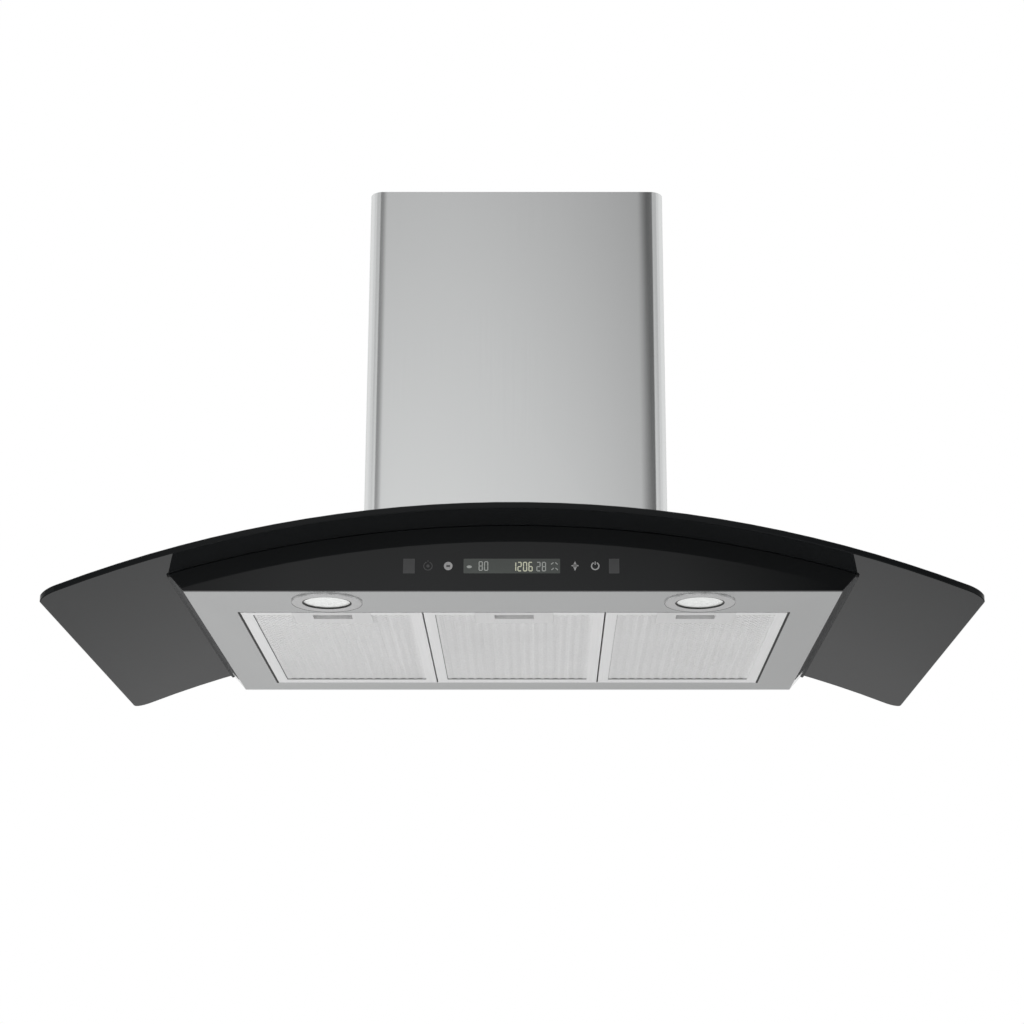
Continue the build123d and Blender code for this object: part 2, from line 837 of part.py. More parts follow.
# The scroll's outline, at its inner wall (grow 0) or its outer wall (grow by the wall).
def scroll_outline(y, grow, top):
    first = scroll_start + grow
    second = first + scroll_step
    third = second + scroll_step
    diagonal = sqrt(0.5)
    tongue = (-grow, sqrt(first**2 - grow**2))
    with BuildSketch(blower_plane(y)) as outline:
        with BuildLine():
            ThreePointArc(tongue, (-first * diagonal, first * diagonal), (-first, 0))
            ThreePointArc(
                (-first, 0),
                (scroll_step - second * diagonal, -second * diagonal),
                (scroll_step, -second),
            )
            ThreePointArc(
                (scroll_step, -second),
                (scroll_step + third * diagonal, scroll_step - third * diagonal),
                (scroll_step + third, scroll_step),
            )
            Polyline(
                (scroll_step + third, scroll_step),
                (scroll_step + third, top),
                (-grow, top),
                tongue,
            )
        make_face()
    return outline.sketch


scroll_top = box_top - box_wall - wheel_z
foot_points = [
    (foot_radius * cos(radians(angle)), foot_radius * sin(radians(angle))) for angle in foot_angles
]

with BuildPart() as volute_front:
    extrude(scroll_outline(outlet_y, scroll_wall, scroll_top), amount=scroll_width / 2)
    extrude(
        scroll_outline(outlet_y, 0, scroll_top + overrun),
        amount=scroll_width / 2 - scroll_wall,
        mode=Mode.SUBTRACT,
    )
    with BuildSketch(blower_plane(scroll_front)):
        Circle(inlet_radius)
    extrude(amount=-2 * scroll_wall, mode=Mode.SUBTRACT)
    # raised lip round the inlet
    with BuildSketch(blower_plane(scroll_front)):
        Circle(inlet_radius + inlet_lip)
        Circle(inlet_radius, mode=Mode.SUBTRACT)
    extrude(amount=inlet_lip)
volute_front.part.label = "volute_front"
export_step(volute_front.part, "parts/volute_front.step")

with BuildPart() as volute_rear:
    extrude(scroll_outline(scroll_rear, scroll_wall, scroll_top), amount=scroll_width / 2)
    extrude(
        scroll_outline(scroll_rear - scroll_wall, 0, scroll_top + overrun),
        amount=scroll_width / 2,
        mode=Mode.SUBTRACT,
    )
    with BuildSketch(blower_plane(scroll_rear)):
        Circle(inlet_radius)
    extrude(amount=2 * scroll_wall, mode=Mode.SUBTRACT)
    with BuildSketch(blower_plane(scroll_rear)):
        with Locations(*foot_points):
            Circle(motor_screw_radius)
    extrude(amount=2 * scroll_wall, mode=Mode.SUBTRACT)
volute_rear.part.label = "volute_rear"
export_step(volute_rear.part, "parts/volute_rear.step")

# Finger guard on the front inlet: two rings on a star of bars.
with BuildPart() as inlet_guard:
    with BuildSketch(blower_plane(scroll_front - inlet_lip)):
        for outer in (inlet_radius + inlet_lip, inlet_radius / 2):
            Circle(outer)
            Circle(outer - guard_ring, mode=Mode.SUBTRACT)
            with PolarLocations(0, 4):
                Rectangle(2 * inlet_radius, guard_bar)
    extrude(amount=guard_thickness)
inlet_guard.part.label = "inlet_guard"
export_step(inlet_guard.part, "parts/inlet_guard.step")

# ======== motor and wheel ========
motor_front = scroll_rear - motor_length
disc_back = motor_front - motor_disc_gap
with BuildPart() as motor:
    with BuildSketch(blower_plane(scroll_rear)):
        Circle(motor_radius)
    extrude(amount=motor_length)
    chamfer(motor.edges().filter_by(GeomType.CIRCLE), motor_edge)
    with BuildSketch(blower_plane(motor_front)):
        Circle(shaft_radius + shaft_clearance)
    extrude(amount=-motor_length / 2, mode=Mode.SUBTRACT)
motor.part.label = "motor"
export_step(motor.part, "parts/motor.step")

with BuildPart() as motor_bracket:
    with BuildSketch(blower_plane(scroll_rear + bracket_thickness)):
        Circle(motor_radius - bracket_rim)
        for angle in foot_angles:
            with Locations(Location((0, 0), angle)):
                with Locations((foot_radius / 2 + bracket_arm / 4, 0)):
                    Rectangle(foot_radius + bracket_arm / 2, bracket_arm)
        Circle(motor_radius / 2, mode=Mode.SUBTRACT)
        with Locations(*foot_points):
            Circle(motor_screw_radius, mode=Mode.SUBTRACT)
    extrude(amount=bracket_thickness)
motor_bracket.part.label = "motor_bracket"
export_step(motor_bracket.part, "parts/motor_bracket.step")

with BuildPart() as motor_screws:
    with BuildSketch(blower_plane(scroll_rear + bracket_thickness + motor_screw_head_height)):
        with Locations(*foot_points):
            RegularPolygon(motor_screw_head, 6)
    extrude(amount=motor_screw_head_height)
    with BuildSketch(blower_plane(scroll_rear + bracket_thickness)):
        with Locations(*foot_points):
            Circle(motor_screw_radius)
    extrude(amount=bracket_thickness + scroll_wall)
motor_screws.part.label = "motor_screws"
export_step(motor_screws.part, "parts/motor_screws.step")

# Forward-curved wheel: a ring of curved blades on a middle disc, closed by two end rings.
blade_inner = wheel_radius - wheel_blade_depth
wheel_rear = outlet_y + wheel_length / 2


def polar(radius, angle):
    return (radius * cos(radians(angle)), radius * sin(radians(angle)))


blade_shift = blade_thickness / wheel_radius / radians(1)
blade_outer = wheel_radius - blade_tip_inset
blade_points = [
    (blade_inner, 0),
    ((blade_inner + blade_outer) / 2, blade_sweep * blade_bend),
    (blade_outer, blade_sweep),
]
blade_face = [polar(radius, angle) for radius, angle in blade_points]
blade_back = [polar(radius, angle + blade_shift) for radius, angle in reversed(blade_points)]
blade_rear = wheel_rear - wheel_disc
with BuildSketch(blower_plane(blade_rear)) as blade:
    with BuildLine():
        Polyline(*blade_face, *blade_back, close=True)
    make_face()

with BuildPart() as impeller:
    with BuildSketch(blower_plane(blade_rear)):
        with PolarLocations(0, blade_count):
            add(blade.sketch_local)
    extrude(amount=wheel_length - 2 * wheel_disc)
    for ring_y in (wheel_rear, outlet_y - wheel_length / 2 + wheel_disc):
        with BuildSketch(blower_plane(ring_y)):
            Circle(wheel_radius)
            Circle(blade_inner - wheel_ring_lip, mode=Mode.SUBTRACT)
        extrude(amount=wheel_disc)
    with BuildSketch(blower_plane(disc_back)):
        Circle(wheel_radius)
    extrude(amount=wheel_disc)
    with BuildSketch(blower_plane(disc_back)):
        Circle(hub_radius)
    extrude(amount=hub_length)
    with BuildSketch(blower_plane(disc_back)):
        Circle(shaft_radius)
    extrude(amount=hub_length, mode=Mode.SUBTRACT)
impeller.part.label = "impeller"
export_step(impeller.part, "parts/impeller.step")

with BuildPart() as impeller_shaft:
    with BuildSketch(blower_plane(disc_back - hub_length)):
        Circle(shaft_radius)
    extrude(amount=-(hub_length + motor_disc_gap + motor_length / 2 - shaft_end_gap))
impeller_shaft.part.label = "impeller_shaft"
export_step(impeller_shaft.part, "parts/impeller_shaft.step")

# ======== outlet collar and damper ========
rod_z = box_top + flap_level
inner_spigot = spigot_radius - spigot_wall
with BuildPart() as outlet_collar:
    with BuildSketch(Plane.XY.offset(box_top)):
        with Locations((0, outlet_y)):
            Circle(spigot_radius + spigot_flange)
            Circle(inner_spigot, mode=Mode.SUBTRACT)
    extrude(amount=spigot_flange_thickness)
    with BuildSketch(Plane.XY.offset(box_top)):
        with Locations((0, outlet_y)):
            Circle(spigot_radius)
            Circle(inner_spigot, mode=Mode.SUBTRACT)
    extrude(amount=spigot_height)
    # ledge that the closed flaps stop on
    ledge_top = rod_z - flap_thickness / 2 - swing_gap
    with BuildSketch(Plane.XY.offset(ledge_top)):
        with Locations((0, outlet_y)):
            Circle(inner_spigot)
            Circle(inner_spigot - ledge_width, mode=Mode.SUBTRACT)
            Rectangle(2 * inner_spigot, 2 * (knuckle_radius + ledge_break), mode=Mode.SUBTRACT)
    extrude(amount=-ledge_thickness)
    with Locations(Location((0, outlet_y, rod_z), (0, 90, 0))):
        Cylinder(rod_radius, 2 * (spigot_radius - rod_inset), mode=Mode.SUBTRACT)
outlet_collar.part.label = "outlet_collar"
export_step(outlet_collar.part, "parts/outlet_collar.step")

with BuildPart() as damper_rod:
    with Locations(Location((0, outlet_y, rod_z), (0, 90, 0))):
        Cylinder(rod_radius, 2 * (spigot_radius - rod_inset))
damper_rod.part.label = "damper_rod"
export_step(damper_rod.part, "parts/damper_rod.step")

# Each half-round flap has two knuckles on the rod, set between those of the other flap.
flap_start = knuckle_radius + flap_root_gap
knuckle_step = knuckle_length + knuckle_gap
for name, facing in (("damper_flap_front", -1), ("damper_flap_rear", 1)):
    with BuildPart() as damper_flap:
        with BuildSketch(Plane.XY.offset(rod_z - flap_thickness / 2)):
            with Locations((0, outlet_y)):
                Circle(inner_spigot - flap_gap)
            with Locations((0, outlet_y - facing * (inner_spigot - flap_start))):
                Rectangle(2 * spigot_radius, 2 * inner_spigot, mode=Mode.SUBTRACT)
        extrude(amount=flap_thickness)
        leaf_length = flap_start + knuckle_gap
        for knuckle_x in (facing * knuckle_step / 2, -facing * 3 * knuckle_step / 2):
            with Locations(Location((knuckle_x, outlet_y, rod_z), (0, 90, 0))):
                Cylinder(knuckle_radius, knuckle_length)
            with Locations((knuckle_x, outlet_y + facing * leaf_length / 2, rod_z)):
                Box(knuckle_length, leaf_length, flap_thickness)
            with Locations(Location((knuckle_x, outlet_y, rod_z), (0, 90, 0))):
                Cylinder(rod_radius + rod_clearance, knuckle_length + knuckle_gap, mode=Mode.SUBTRACT)
    damper_flap.part.label = name
    export_step(damper_flap.part, f"parts/{name}.step")

# ======== mains connection and run capacitor ========
terminal_left = spigot_radius + spigot_flange + terminal_gap
terminal_right = box_half - terminal_inset
terminal_front = outlet_y - terminal_length / 2
terminal_rear = outlet_y + terminal_length / 2
lid_z = box_top + terminal_height
gland_x = (terminal_left + terminal_right) / 2
gland_z = box_top + terminal_height / 2 + gland_rise
with BuildPart() as terminal_box:
    block(terminal_left, terminal_right, terminal_front, terminal_rear, box_top, lid_z)
    fillet(terminal_box.edges().filter_by(Axis.Z), terminal_corner)
    block(
        terminal_left + terminal_wall,
        terminal_right - terminal_wall,
        terminal_front + terminal_wall,
        terminal_rear - terminal_wall,
        box_top + terminal_wall,
        lid_z,
        mode=Mode.SUBTRACT,
    )
    with Locations(Location((gland_x, terminal_rear, gland_z), (90, 0, 0))):
        Cylinder(gland_thread, 3 * terminal_wall, mode=Mode.SUBTRACT)
terminal_box.part.label = "terminal_box"
export_step(terminal_box.part, "parts/terminal_box.step")

with BuildPart() as terminal_lid:
    block(terminal_left, terminal_right, terminal_front, terminal_rear, lid_z, lid_z + terminal_wall)
    fillet(terminal_lid.edges().filter_by(Axis.Z), terminal_corner)
terminal_lid.part.label = "terminal_lid"
export_step(terminal_lid.part, "parts/terminal_lid.step")

# Cable gland: threaded body through the wall, hexagon and domed nut, bored for the mains lead.
gland_plane = Plane(origin=(gland_x, terminal_rear, gland_z), x_dir=(1, 0, 0), z_dir=(0, 1, 0))
gland_start = -terminal_wall - gland_nut
gland_end = gland_collar + gland_dome_length
with BuildPart() as cable_gland:
    with BuildSketch(gland_plane.offset(gland_start)):
        Circle(gland_thread)
    extrude(amount=-gland_start)
    with BuildSketch(gland_plane.offset(gland_start)):
        RegularPolygon(gland_hex, 6)
    extrude(amount=gland_nut)
    with BuildSketch(gland_plane):
        RegularPolygon(gland_hex, 6)
    extrude(amount=gland_collar)
    with BuildSketch(gland_plane.offset(gland_collar)):
        Circle(gland_dome)
    extrude(amount=gland_dome_length)
    chamfer(cable_gland.faces().sort_by(Axis.Y)[-1].edges(), gland_dome_edge)
    with BuildSketch(gland_plane.offset(gland_start)):
        Circle(gland_bore)
    extrude(amount=gland_end - gland_start, mode=Mode.SUBTRACT)
cable_gland.part.label = "cable_gland"
export_step(cable_gland.part, "parts/cable_gland.step")

# Run capacitor clipped to the right wall of the blower box.
capacitor_x = box_half - box_wall - capacitor_gap - capacitor_radius
capacitor_y = outlet_y + capacitor_offset
tag_z = capacitor_z + capacitor_height + tag_height / 2
with BuildPart() as capacitor:
    with BuildSketch(Plane.XY.offset(capacitor_z)):
        with Locations((capacitor_x, capacitor_y)):
            Circle(capacitor_radius)
    extrude(amount=capacitor_height)
    chamfer(capacitor.edges().filter_by(GeomType.CIRCLE), capacitor_edge)
    with Locations((capacitor_x, capacitor_y, tag_z)):
        with GridLocations(tag_spacing, 1, 2, 1):
            Box(tag_thickness, tag_width, tag_height)
capacitor.part.label = "capacitor"
export_step(capacitor.part, "parts/capacitor.step")

with BuildPart() as capacitor_clip:
    with BuildSketch(Plane.XY.offset(capacitor_z + clip_rise)):
        with Locations((capacitor_x, capacitor_y)):
            Circle(capacitor_radius + clip_thickness)
        with Locations((capacitor_x + capacitor_radius + capacitor_gap / 2, capacitor_y)):
            Rectangle(capacitor_gap, 3 * capacitor_radius)
        with Locations((capacitor_x, capacitor_y)):
            Circle(capacitor_radius, mode=Mode.SUBTRACT)
    extrude(amount=clip_height)
capacitor_clip.part.label = "capacitor_clip"
export_step(capacitor_clip.part, "parts/capacitor_clip.step")

# ======== chimney ========
# Sheet steel bent round the front and both sides, with a return along the wall on each side.
def chimney_profile(z, half, front, back, corner):
    with BuildSketch(Plane.XY.offset(z)) as profile:
        with BuildLine():
            FilletPolyline((-half, back), (-half, front), (half, front), (half, back), radius=corner)
            Line((half, back), (-half, back))
        make_face()
        offset(amount=-chimney_sheet, kind=Kind.INTERSECTION, mode=Mode.SUBTRACT)
        with Locations((0, back)):
            Rectangle(2 * (chimney_half - chimney_return), 4 * chimney_sheet, mode=Mode.SUBTRACT)
    return profile.sketch


seal_radius = glass_radius + seal_thickness
chimney_foot = arch_height(seal_radius, chimney_half) - seal_step
with BuildPart() as chimney_lower:
    extrude(
        chimney_profile(chimney_foot, chimney_half, chimney_front, 0, chimney_corner),
        amount=chimney_top - chimney_foot,
    )
    extrude(below_arch(0, seal_radius, chimney_half + overrun, 0), amount=glass_depth, mode=Mode.SUBTRACT)
    with Locations(Location((0, outlet_y, chimney_screw_height), (0, 90, 0))):
        Cylinder(chimney_screw_radius, 2 * (chimney_half + overrun), mode=Mode.SUBTRACT)
chimney_lower.part.label = "chimney_lower"
export_step(chimney_lower.part, "parts/chimney_lower.step")

# Edge trim between the chimney's foot and the glass.
with BuildPart() as chimney_seal:
    extrude(
        chimney_profile(chimney_foot - overrun, chimney_half, chimney_front, glass_back, chimney_corner),
        amount=trim_depth / 2,
    )
    extrude(below_arch(0, glass_radius, chimney_half + overrun, 0), amount=glass_depth, mode=Mode.SUBTRACT)
    extrude(
        arch_band(0, seal_radius + trim_depth, seal_radius, chimney_half + overrun),
        amount=glass_depth,
        mode=Mode.SUBTRACT,
    )
chimney_seal.part.label = "chimney_seal"
export_step(chimney_seal.part, "parts/chimney_seal.step")

with BuildPart() as chimney_upper:
    inner_corner = chimney_corner - chimney_sheet - chimney_slide_gap
    extrude(
        chimney_profile(upper_bottom, upper_half, upper_front, upper_back, inner_corner),
        amount=upper_top - upper_bottom,
    )
    # rows of air slots near the top of both sides
    with BuildSketch(Plane.YZ.offset(-chimney_half)):
        top_slot = upper_top - louvre_drop
        slot_middle = top_slot - (louvre_count - 1) * louvre_pitch / 2
        with Locations((outlet_y, slot_middle)):
            with GridLocations(1, louvre_pitch, 1, louvre_count):
                Rectangle(louvre_length, louvre_height)
    extrude(amount=2 * chimney_half, mode=Mode.SUBTRACT)
chimney_upper.part.label = "chimney_upper"
export_step(chimney_upper.part, "parts/chimney_upper.step")

# Z brackets on the blower box that the lower chimney is screwed to, and the upper one stands on.
bracket_high = upper_bottom - swing_gap
with BuildPart() as chimney_brackets:
    for side in (-1, 1):
        wall_x = side * (chimney_half - chimney_sheet)
        box_x = side * box_half
        thick = side * bracket_sheet
        with BuildSketch(Plane.XY.offset(bracket_low)):
            with BuildLine():
                Polyline(
                    (box_x, outlet_y - bracket_half - bracket_wing),
                    (box_x + thick, outlet_y - bracket_half - bracket_wing),
                    (box_x + thick, outlet_y - bracket_half),
                    (wall_x, outlet_y - bracket_half),
                    (wall_x, outlet_y + bracket_half),
                    (wall_x - thick, outlet_y + bracket_half),
                    (wall_x - thick, outlet_y - bracket_half + bracket_sheet),
                    (box_x, outlet_y - bracket_half + bracket_sheet),
                    close=True,
                )
            make_face()
        extrude(amount=bracket_high - bracket_low)
    with Locations(Location((0, outlet_y, chimney_screw_height), (0, 90, 0))):
        Cylinder(chimney_screw_radius, 2 * (chimney_half + overrun), mode=Mode.SUBTRACT)
chimney_brackets.part.label = "chimney_brackets"
export_step(chimney_brackets.part, "parts/chimney_brackets.step")

with BuildPart() as chimney_screws:
    for side in (-1, 1):
        with BuildSketch(Plane.YZ.offset(side * chimney_half)):
            with Locations((outlet_y, chimney_screw_height)):
                Circle(chimney_screw_head)
        extrude(amount=side * chimney_screw_head_height)
        with BuildSketch(Plane.YZ.offset(side * chimney_half)):
            with Locations((outlet_y, chimney_screw_height)):
                Circle(chimney_screw_radius)
        extrude(amount=-side * chimney_screw_grip)
chimney_screws.part.label = "chimney_screws"
export_step(chimney_screws.part, "parts/chimney_screws.step")

# Slotted wall strip that ties the upper chimney to the wall, its arms inside the chimney's sides.
strip_z = upper_top - strip_drop - strip_height
arm_x = upper_half - chimney_sheet
with BuildPart() as ceiling_bracket:
    strip_half = chimney_half - chimney_return - strip_room
    arm_back = upper_back - chimney_sheet - arm_gap
    arm_end = arm_back - arm_length
    with BuildSketch(Plane.XY.offset(strip_z)):
        with BuildLine():
            path = Polyline(
                (-arm_x + strip_thickness / 2, arm_end),
                (-arm_x + strip_thickness / 2, arm_back),
                (-strip_half, arm_back),
                (-strip_half, -strip_thickness / 2),
                (strip_half, -strip_thickness / 2),
                (strip_half, arm_back),
                (arm_x - strip_thickness / 2, arm_back),
                (arm_x - strip_thickness / 2, arm_end),
            )
        trace(path.edges(), strip_thickness)
    extrude(amount=strip_height)
    with BuildSketch(Plane.XZ.offset(-overrun)):
        with Locations((0, strip_z + strip_height / 2)):
            with GridLocations(slot_spacing, 1, 2, 1):
                SlotOverall(slot_length, 2 * slot_radius)
    extrude(amount=2 * overrun, mode=Mode.SUBTRACT)
ceiling_bracket.part.label = "ceiling_bracket"
export_step(ceiling_bracket.part, "parts/ceiling_bracket.step")

# ======== canopy clamp screws ========
clamp_seat = arch_height(glass_radius, clamp_x - washer_half) + washer_thickness
clamp_under = arch_height(flange_radius, clamp_x + nut_radius) - nut_height
shank_radius = clamp_radius - clamp_fit

with BuildPart() as canopy_screws:
    with BuildSketch(Plane.XY.offset(clamp_seat)):
        with Locations(*clamp_points):
            RegularPolygon(clamp_head_radius, 6)
    extrude(amount=clamp_head_height)
    with BuildSketch(Plane.XY.offset(clamp_seat)):
        with Locations(*clamp_points):
            Circle(shank_radius)
    extrude(amount=clamp_under - clamp_tail - clamp_seat)
canopy_screws.part.label = "canopy_screws"
export_step(canopy_screws.part, "parts/canopy_screws.step")

with BuildPart() as canopy_washers:
    with BuildSketch(Plane.XY.offset(clamp_seat)):
        with Locations(*clamp_points):
            Rectangle(2 * washer_half, 2 * washer_half)
            Circle(clamp_radius, mode=Mode.SUBTRACT)
    extrude(amount=-2 * washer_half)
    extrude(below_arch(0, glass_radius, chimney_half, 0), amount=glass_depth, mode=Mode.SUBTRACT)
canopy_washers.part.label = "canopy_washers"
export_step(canopy_washers.part, "parts/canopy_washers.step")

with BuildPart() as canopy_nuts:
    with BuildSketch(Plane.XY.offset(clamp_under)):
        with Locations(*clamp_points):
            Rectangle(2 * nut_radius, 2 * nut_radius)
            Circle(shank_radius, mode=Mode.SUBTRACT)
    extrude(amount=2 * nut_height)
    extrude(arch_band(0, glass_radius, flange_radius, chimney_half), amount=glass_depth, mode=Mode.SUBTRACT)
canopy_nuts.part.label = "canopy_nuts"
export_step(canopy_nuts.part, "parts/canopy_nuts.step")
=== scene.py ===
import json
import math

import bmesh
import bpy
from mathutils import Matrix, Vector

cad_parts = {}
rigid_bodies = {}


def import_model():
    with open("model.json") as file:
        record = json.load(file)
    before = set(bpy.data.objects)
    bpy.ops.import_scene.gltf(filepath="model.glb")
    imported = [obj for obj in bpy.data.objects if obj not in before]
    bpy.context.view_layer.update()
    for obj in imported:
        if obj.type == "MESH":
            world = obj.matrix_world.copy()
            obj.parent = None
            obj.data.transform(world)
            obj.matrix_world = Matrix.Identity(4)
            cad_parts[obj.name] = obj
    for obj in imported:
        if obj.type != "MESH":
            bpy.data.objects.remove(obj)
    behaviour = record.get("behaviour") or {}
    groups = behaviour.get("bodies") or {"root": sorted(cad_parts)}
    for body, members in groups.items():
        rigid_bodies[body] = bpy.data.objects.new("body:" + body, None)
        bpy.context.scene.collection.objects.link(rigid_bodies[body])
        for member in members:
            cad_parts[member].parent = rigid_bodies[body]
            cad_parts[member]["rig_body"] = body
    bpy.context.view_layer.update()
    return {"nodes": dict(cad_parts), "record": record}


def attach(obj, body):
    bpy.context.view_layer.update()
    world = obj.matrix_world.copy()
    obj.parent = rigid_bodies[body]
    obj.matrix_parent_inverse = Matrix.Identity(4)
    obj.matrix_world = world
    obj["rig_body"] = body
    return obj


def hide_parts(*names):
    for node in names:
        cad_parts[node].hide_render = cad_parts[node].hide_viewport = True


# Wall hood with an arched glass canopy: finishes, fine detail, studio and camera.
# Metres, +Z up, the room on the -Y side, the origin on the wall plane under the middle of the body.

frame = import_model()
cadNodes = frame["nodes"]
mm = 0.001
print("frame loaded,", len(cadNodes), "nodes")


# ---- shared shader groups ----

def newGroup(name, inputs, outputs):
    group = bpy.data.node_groups.new(name, "ShaderNodeTree")
    for socketName, kind, value in inputs:
        socket = group.interface.new_socket(socketName, in_out="INPUT", socket_type="NodeSocket" + kind)
        if value is not None:
            socket.default_value = value
    for socketName, kind in outputs:
        group.interface.new_socket(socketName, in_out="OUTPUT", socket_type="NodeSocket" + kind)
    return group, group.nodes.new("NodeGroupInput"), group.nodes.new("NodeGroupOutput")


def addNode(tree, kind, **settings):
    node = tree.nodes.new("ShaderNode" + kind)
    for key, value in settings.items():
        setattr(node, key, value)
    return node


def addMath(tree, operation, first, second=None, clamp=False):
    node = addNode(tree, "Math", operation=operation, use_clamp=clamp)
    for slotIndex, value in enumerate((first, second)):
        if value is None:
            continue
        if isinstance(value, (int, float)):
            node.inputs[slotIndex].default_value = value
        else:
            tree.links.new(value, node.inputs[slotIndex])
    return node.outputs[0]


def makeGrainGroup():
    # fine streaks, drawn out along one axis by the Stretch vector, with soft blotches under them
    group, entry, leave = newGroup(
        "streakGrain",
        [("Vector", "Vector", None), ("Stretch", "Vector", (8, 900, 900)), ("Blotch Size", "Float", 5.0)],
        [("Grain", "Float"), ("Blotch", "Float")],
    )
    stretched = addNode(group, "VectorMath", operation="MULTIPLY")
    group.links.new(entry.outputs["Vector"], stretched.inputs[0])
    group.links.new(entry.outputs["Stretch"], stretched.inputs[1])
    streaks = addNode(group, "TexNoise")
    streaks.inputs["Scale"].default_value = 1.0
    streaks.inputs["Detail"].default_value = 4.0
    streaks.inputs["Roughness"].default_value = 0.65
    group.links.new(stretched.outputs[0], streaks.inputs["Vector"])
    blotches = addNode(group, "TexNoise")
    blotches.inputs["Detail"].default_value = 2.0
    group.links.new(entry.outputs["Vector"], blotches.inputs["Vector"])
    group.links.new(entry.outputs["Blotch Size"], blotches.inputs["Scale"])
    group.links.new(streaks.outputs["Fac"], leave.inputs["Grain"])
    group.links.new(blotches.outputs["Fac"], leave.inputs["Blotch"])
    return group


def makeSpeckGroup():
    # moulded or cast skin: small bumps, and a broad unevenness for colour and gloss
    group, entry, leave = newGroup(
        "mouldedSkin",
        [("Vector", "Vector", None), ("Fine", "Float", 1800.0), ("Broad", "Float", 18.0)],
        [("Bumps", "Float"), ("Unevenness", "Float")],
    )
    for sizeName, outName, detail in (("Fine", "Bumps", 3.0), ("Broad", "Unevenness", 2.0)):
        noise = addNode(group, "TexNoise")
        noise.inputs["Detail"].default_value = detail
        group.links.new(entry.outputs["Vector"], noise.inputs["Vector"])
        group.links.new(entry.outputs[sizeName], noise.inputs["Scale"])
        group.links.new(noise.outputs["Fac"], leave.inputs[outName])
    return group


def makeEdgeHighlightGroup():
    # how close a point is to a sharp edge, from the turn of a rounded normal; a metal's painted highlight along its
    # edges follows it
    group, entry, leave = newGroup(
        "paintedEdgeHighlight", [("Radius", "Float", 0.0006), ("Sharpness", "Float", 3.0)], [("Mask", "Float")]
    )
    rounded = addNode(group, "Bevel", samples=3)
    group.links.new(entry.outputs["Radius"], rounded.inputs["Radius"])
    shape = addNode(group, "NewGeometry")
    turn = addNode(group, "VectorMath", operation="DOT_PRODUCT")
    group.links.new(rounded.outputs[0], turn.inputs[0])
    group.links.new(shape.outputs["Normal"], turn.inputs[1])
    away = addMath(group, "SUBTRACT", 1.0, turn.outputs["Value"], clamp=True)
    group.links.new(addMath(group, "MULTIPLY", away, entry.outputs["Sharpness"], clamp=True), leave.inputs["Mask"])
    return group


grainGroup = makeGrainGroup()
skinGroup = makeSpeckGroup()
edgeHighlightGroup = makeEdgeHighlightGroup()


# ---- materials ----

bumpDepth = 0.0002
colourBand = (0.35, 0.65)  # the noise values that a colour or a gloss is spread over
glossBand = (0.3, 0.7)
blotchShare = 0.3  # of the soft blotches in a metal's tone, beside its streaks


def startMaterial(name):
    material = bpy.data.materials.new(name)
    material.use_nodes = True
    tree = material.node_tree
    shader = tree.nodes["Principled BSDF"]
    place = addNode(tree, "TexCoord")
    return material, tree, shader, place.outputs["Object"]


def placeGroup(tree, group, coordinates=None, **values):
    node = tree.nodes.new("ShaderNodeGroup")
    node.node_tree = group
    if coordinates is not None:
        tree.links.new(coordinates, node.inputs["Vector"])
    for key, value in values.items():
        node.inputs[key.replace("_", " ")].default_value = value
    return node


def mixColour(tree, factor, first, second, target=None):
    mix = addNode(tree, "Mix", data_type="RGBA")
    tree.links.new(factor, mix.inputs[0])
    for slotIndex, value in ((6, first), (7, second)):
        if isinstance(value, tuple):
            mix.inputs[slotIndex].default_value = (*value, 1)
        else:
            tree.links.new(value, mix.inputs[slotIndex])
    if target is not None:
        tree.links.new(mix.outputs[2], target)
    return mix.outputs[2]


def mapRange(tree, value, low, high, outLow, outHigh, target=None):
    node = addNode(tree, "MapRange")
    tree.links.new(value, node.inputs[0])
    for slotIndex, number in zip((1, 2, 3, 4), (low, high, outLow, outHigh)):
        node.inputs[slotIndex].default_value = number
    if target is not None:
        tree.links.new(node.outputs[0], target)
    return node.outputs[0]


def splitPlace(tree):
    place = addNode(tree, "TexCoord")
    parts = addNode(tree, "SeparateXYZ")
    tree.links.new(place.outputs["Object"], parts.inputs[0])
    return parts.outputs


def baseColourOf(tree):
    # the base colour's socket, and what feeds it so far
    socket = tree.nodes["Principled BSDF"].inputs["Base Color"]
    return socket, socket.links[0].from_socket


def addBump(tree, shader, height, strength):
    bump = addNode(tree, "Bump")
    bump.inputs["Strength"].default_value = strength
    bump.inputs["Distance"].default_value = bumpDepth
    tree.links.new(height, bump.inputs["Height"])
    tree.links.new(bump.outputs[0], shader.inputs["Normal"])


def brushedMetal(name, darker, lighter, rough, stretch, edgeHighlight=None, bump=0.05, blotch=5.0, metallic=1.0):
    material, tree, shader, coordinates = startMaterial(name)
    shader.inputs["Metallic"].default_value = metallic
    grain = placeGroup(tree, grainGroup, coordinates, Stretch=stretch, Blotch_Size=blotch)
    blend = addMath(tree, "ADD", addMath(tree, "MULTIPLY", grain.outputs["Grain"], 1 - blotchShare),
                    addMath(tree, "MULTIPLY", grain.outputs["Blotch"], blotchShare))
    tone = mapRange(tree, blend, *colourBand, 0, 1)
    colour = mixColour(tree, tone, darker, lighter)
    # sharp edges are painted lighter: a painted highlight
    if edgeHighlight:
        edge = placeGroup(tree, edgeHighlightGroup)
        colour = mixColour(tree, edge.outputs["Mask"], colour, edgeHighlight)
    tree.links.new(colour, shader.inputs["Base Color"])
    mapRange(tree, blend, *glossBand, *rough, shader.inputs["Roughness"])
    addBump(tree, shader, grain.outputs["Grain"], bump)
    return material


